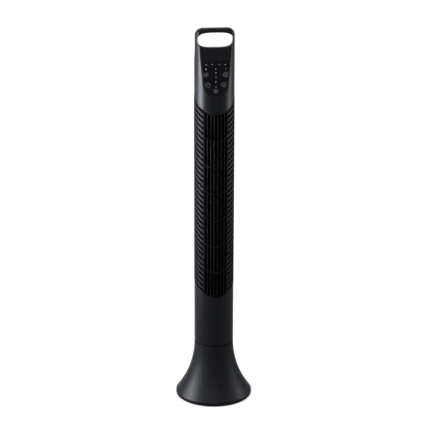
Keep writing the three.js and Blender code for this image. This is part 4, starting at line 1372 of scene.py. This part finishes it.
def band(x, y, radius, width, first, last, count=20):
    """A stroke along an arc, in degrees anticlockwise from +X."""
    angles = [math.radians(a) for a in spaced(first, last, count)]
    edges = [(radius + width / 2, angles), (radius - width / 2, angles[::-1])]
    return [[(x + r * math.cos(a), y + r * math.sin(a)) for r, along in edges for a in along]]


def arrow(x, y, size, degrees):
    """A triangle that points towards an angle."""
    turns = [math.radians(degrees) + turn for turn in (0, 2.4, -2.4)]
    return [[(x + size * math.cos(a), y + size * math.sin(a)) for a in turns]]


def signs():
    """Each button's printed sign, as a list of flat shapes about its middle."""
    sizes = ((7.3, 6.7), (3.6, 3.0), (2.2, 1.5))
    ring, clock, sun = ([circle(0, 0, outer), circle(0, 0, inner)] for outer, inner in sizes)
    arrows = [arrow(-3.7, -0.3, 1.5, 215), arrow(3.7, -0.3, 1.5, -35)]
    return {
        "speed": [bar(-2.4, -1.2, 1, 2.4), bar(0, -0.4, 1, 4), bar(2.4, 0.5, 1, 5.8)],
        "timer": [ring, clock, bar(0, 1.0, 0.7, 2.2), bar(0.9, 0.05, 2.0, 0.7)],
        "swing": [ring, band(0, -3.2, 5.0, 0.8, 55, 125), *arrows],
        "mode": [ring, sun, bar(0, 3.6, 0.7, 1.4), bar(0, -3.6, 0.7, 1.4)],
        "power": [band(0, -0.3, 3.1, 0.8, 125, 415), bar(0, 2.2, 0.8, 3.2)],
    }


def button_cap():
    """A push button on its stem, with a shallow dish on top."""
    top, edge, under = BUTTON_PROUD, BUTTON_R, BUTTON_PROUD - CAP_THICK
    profile = [(0, top - 0.12), (edge - 2.4, top - 0.07), (edge - 1.0, top), (edge - 0.4, top - 0.1)]
    profile += [(edge - 0.1, top - 0.35), (edge, top - 0.6), (edge, under + 0.1), (edge - 0.1, under)]
    profile += [(STEM_R, under), (STEM_R, STEM_END + 0.2), (STEM_R - 0.2, STEM_END), (0, STEM_END)]
    return lathe(profile, 64, False)


def buttons():
    """The five push buttons and the ink of their signs."""
    cap = button_cap()
    for name, (x, y) in BUTTONS.items():
        body = f"{name}_button"
        material = "button_grey" if name in ("speed", "power") else "button_black"
        mesh = facing(shifted(cap, x, y))
        piece(f"{name}_cap", mesh, body, "button_grey", [f"button_{name}"], material=material)
        ink = joined([flat_shape(loops, PRINT_THICK) for loops in signs()[name]])
        mesh = facing(shifted(ink, x, y, BUTTON_PROUD - 0.07))
        piece(f"{name}_sign", mesh, body, "button_grey", material="print_pale")


def panel_print():
    """A small printed hexagon over the power button."""
    hexagon = [circle(0, -45.4, radius, 6) for radius in (2.3, 1.5)]
    mesh = facing(shifted(flat_shape(hexagon, 0.12), z=0.05))
    piece("panel_hexagon_print", mesh, "tower", "button_grey", material="print_pale")


# ---- pieces kept as the frame has them


def finish_kept_nodes():
    """Rounded edges and a procedural finish for every frame node that still shows."""
    slots = {part["node"]: part["material_slot"] for part in frame["record"]["subparts"]}
    for name, obj in frame["nodes"].items():
        if obj.hide_render:
            continue
        material = MATERIALS[slots[name]]
        if not obj.material_slots:
            obj.data.materials.append(material)
        for holder in obj.material_slots:
            holder.link = "OBJECT"
            holder.material = material
        add_bevel(obj, 0.25, 2, 35)


# ---- build

make_camera()
make_world()
make_lights()
make_floor()
bpy.context.scene.view_settings.view_transform = "Standard"
MATERIALS = make_materials()

base_shell()
seam_ring()
base_plate()
feet()
base_screws()
cord_gland()
lower_housing()
front_casing()
rear_casing()
rear_screws()
front_grille()
fan_wheel()
head_housing()
control_panel()
light_guide()
buttons()
panel_print()
finish_kept_nodes()
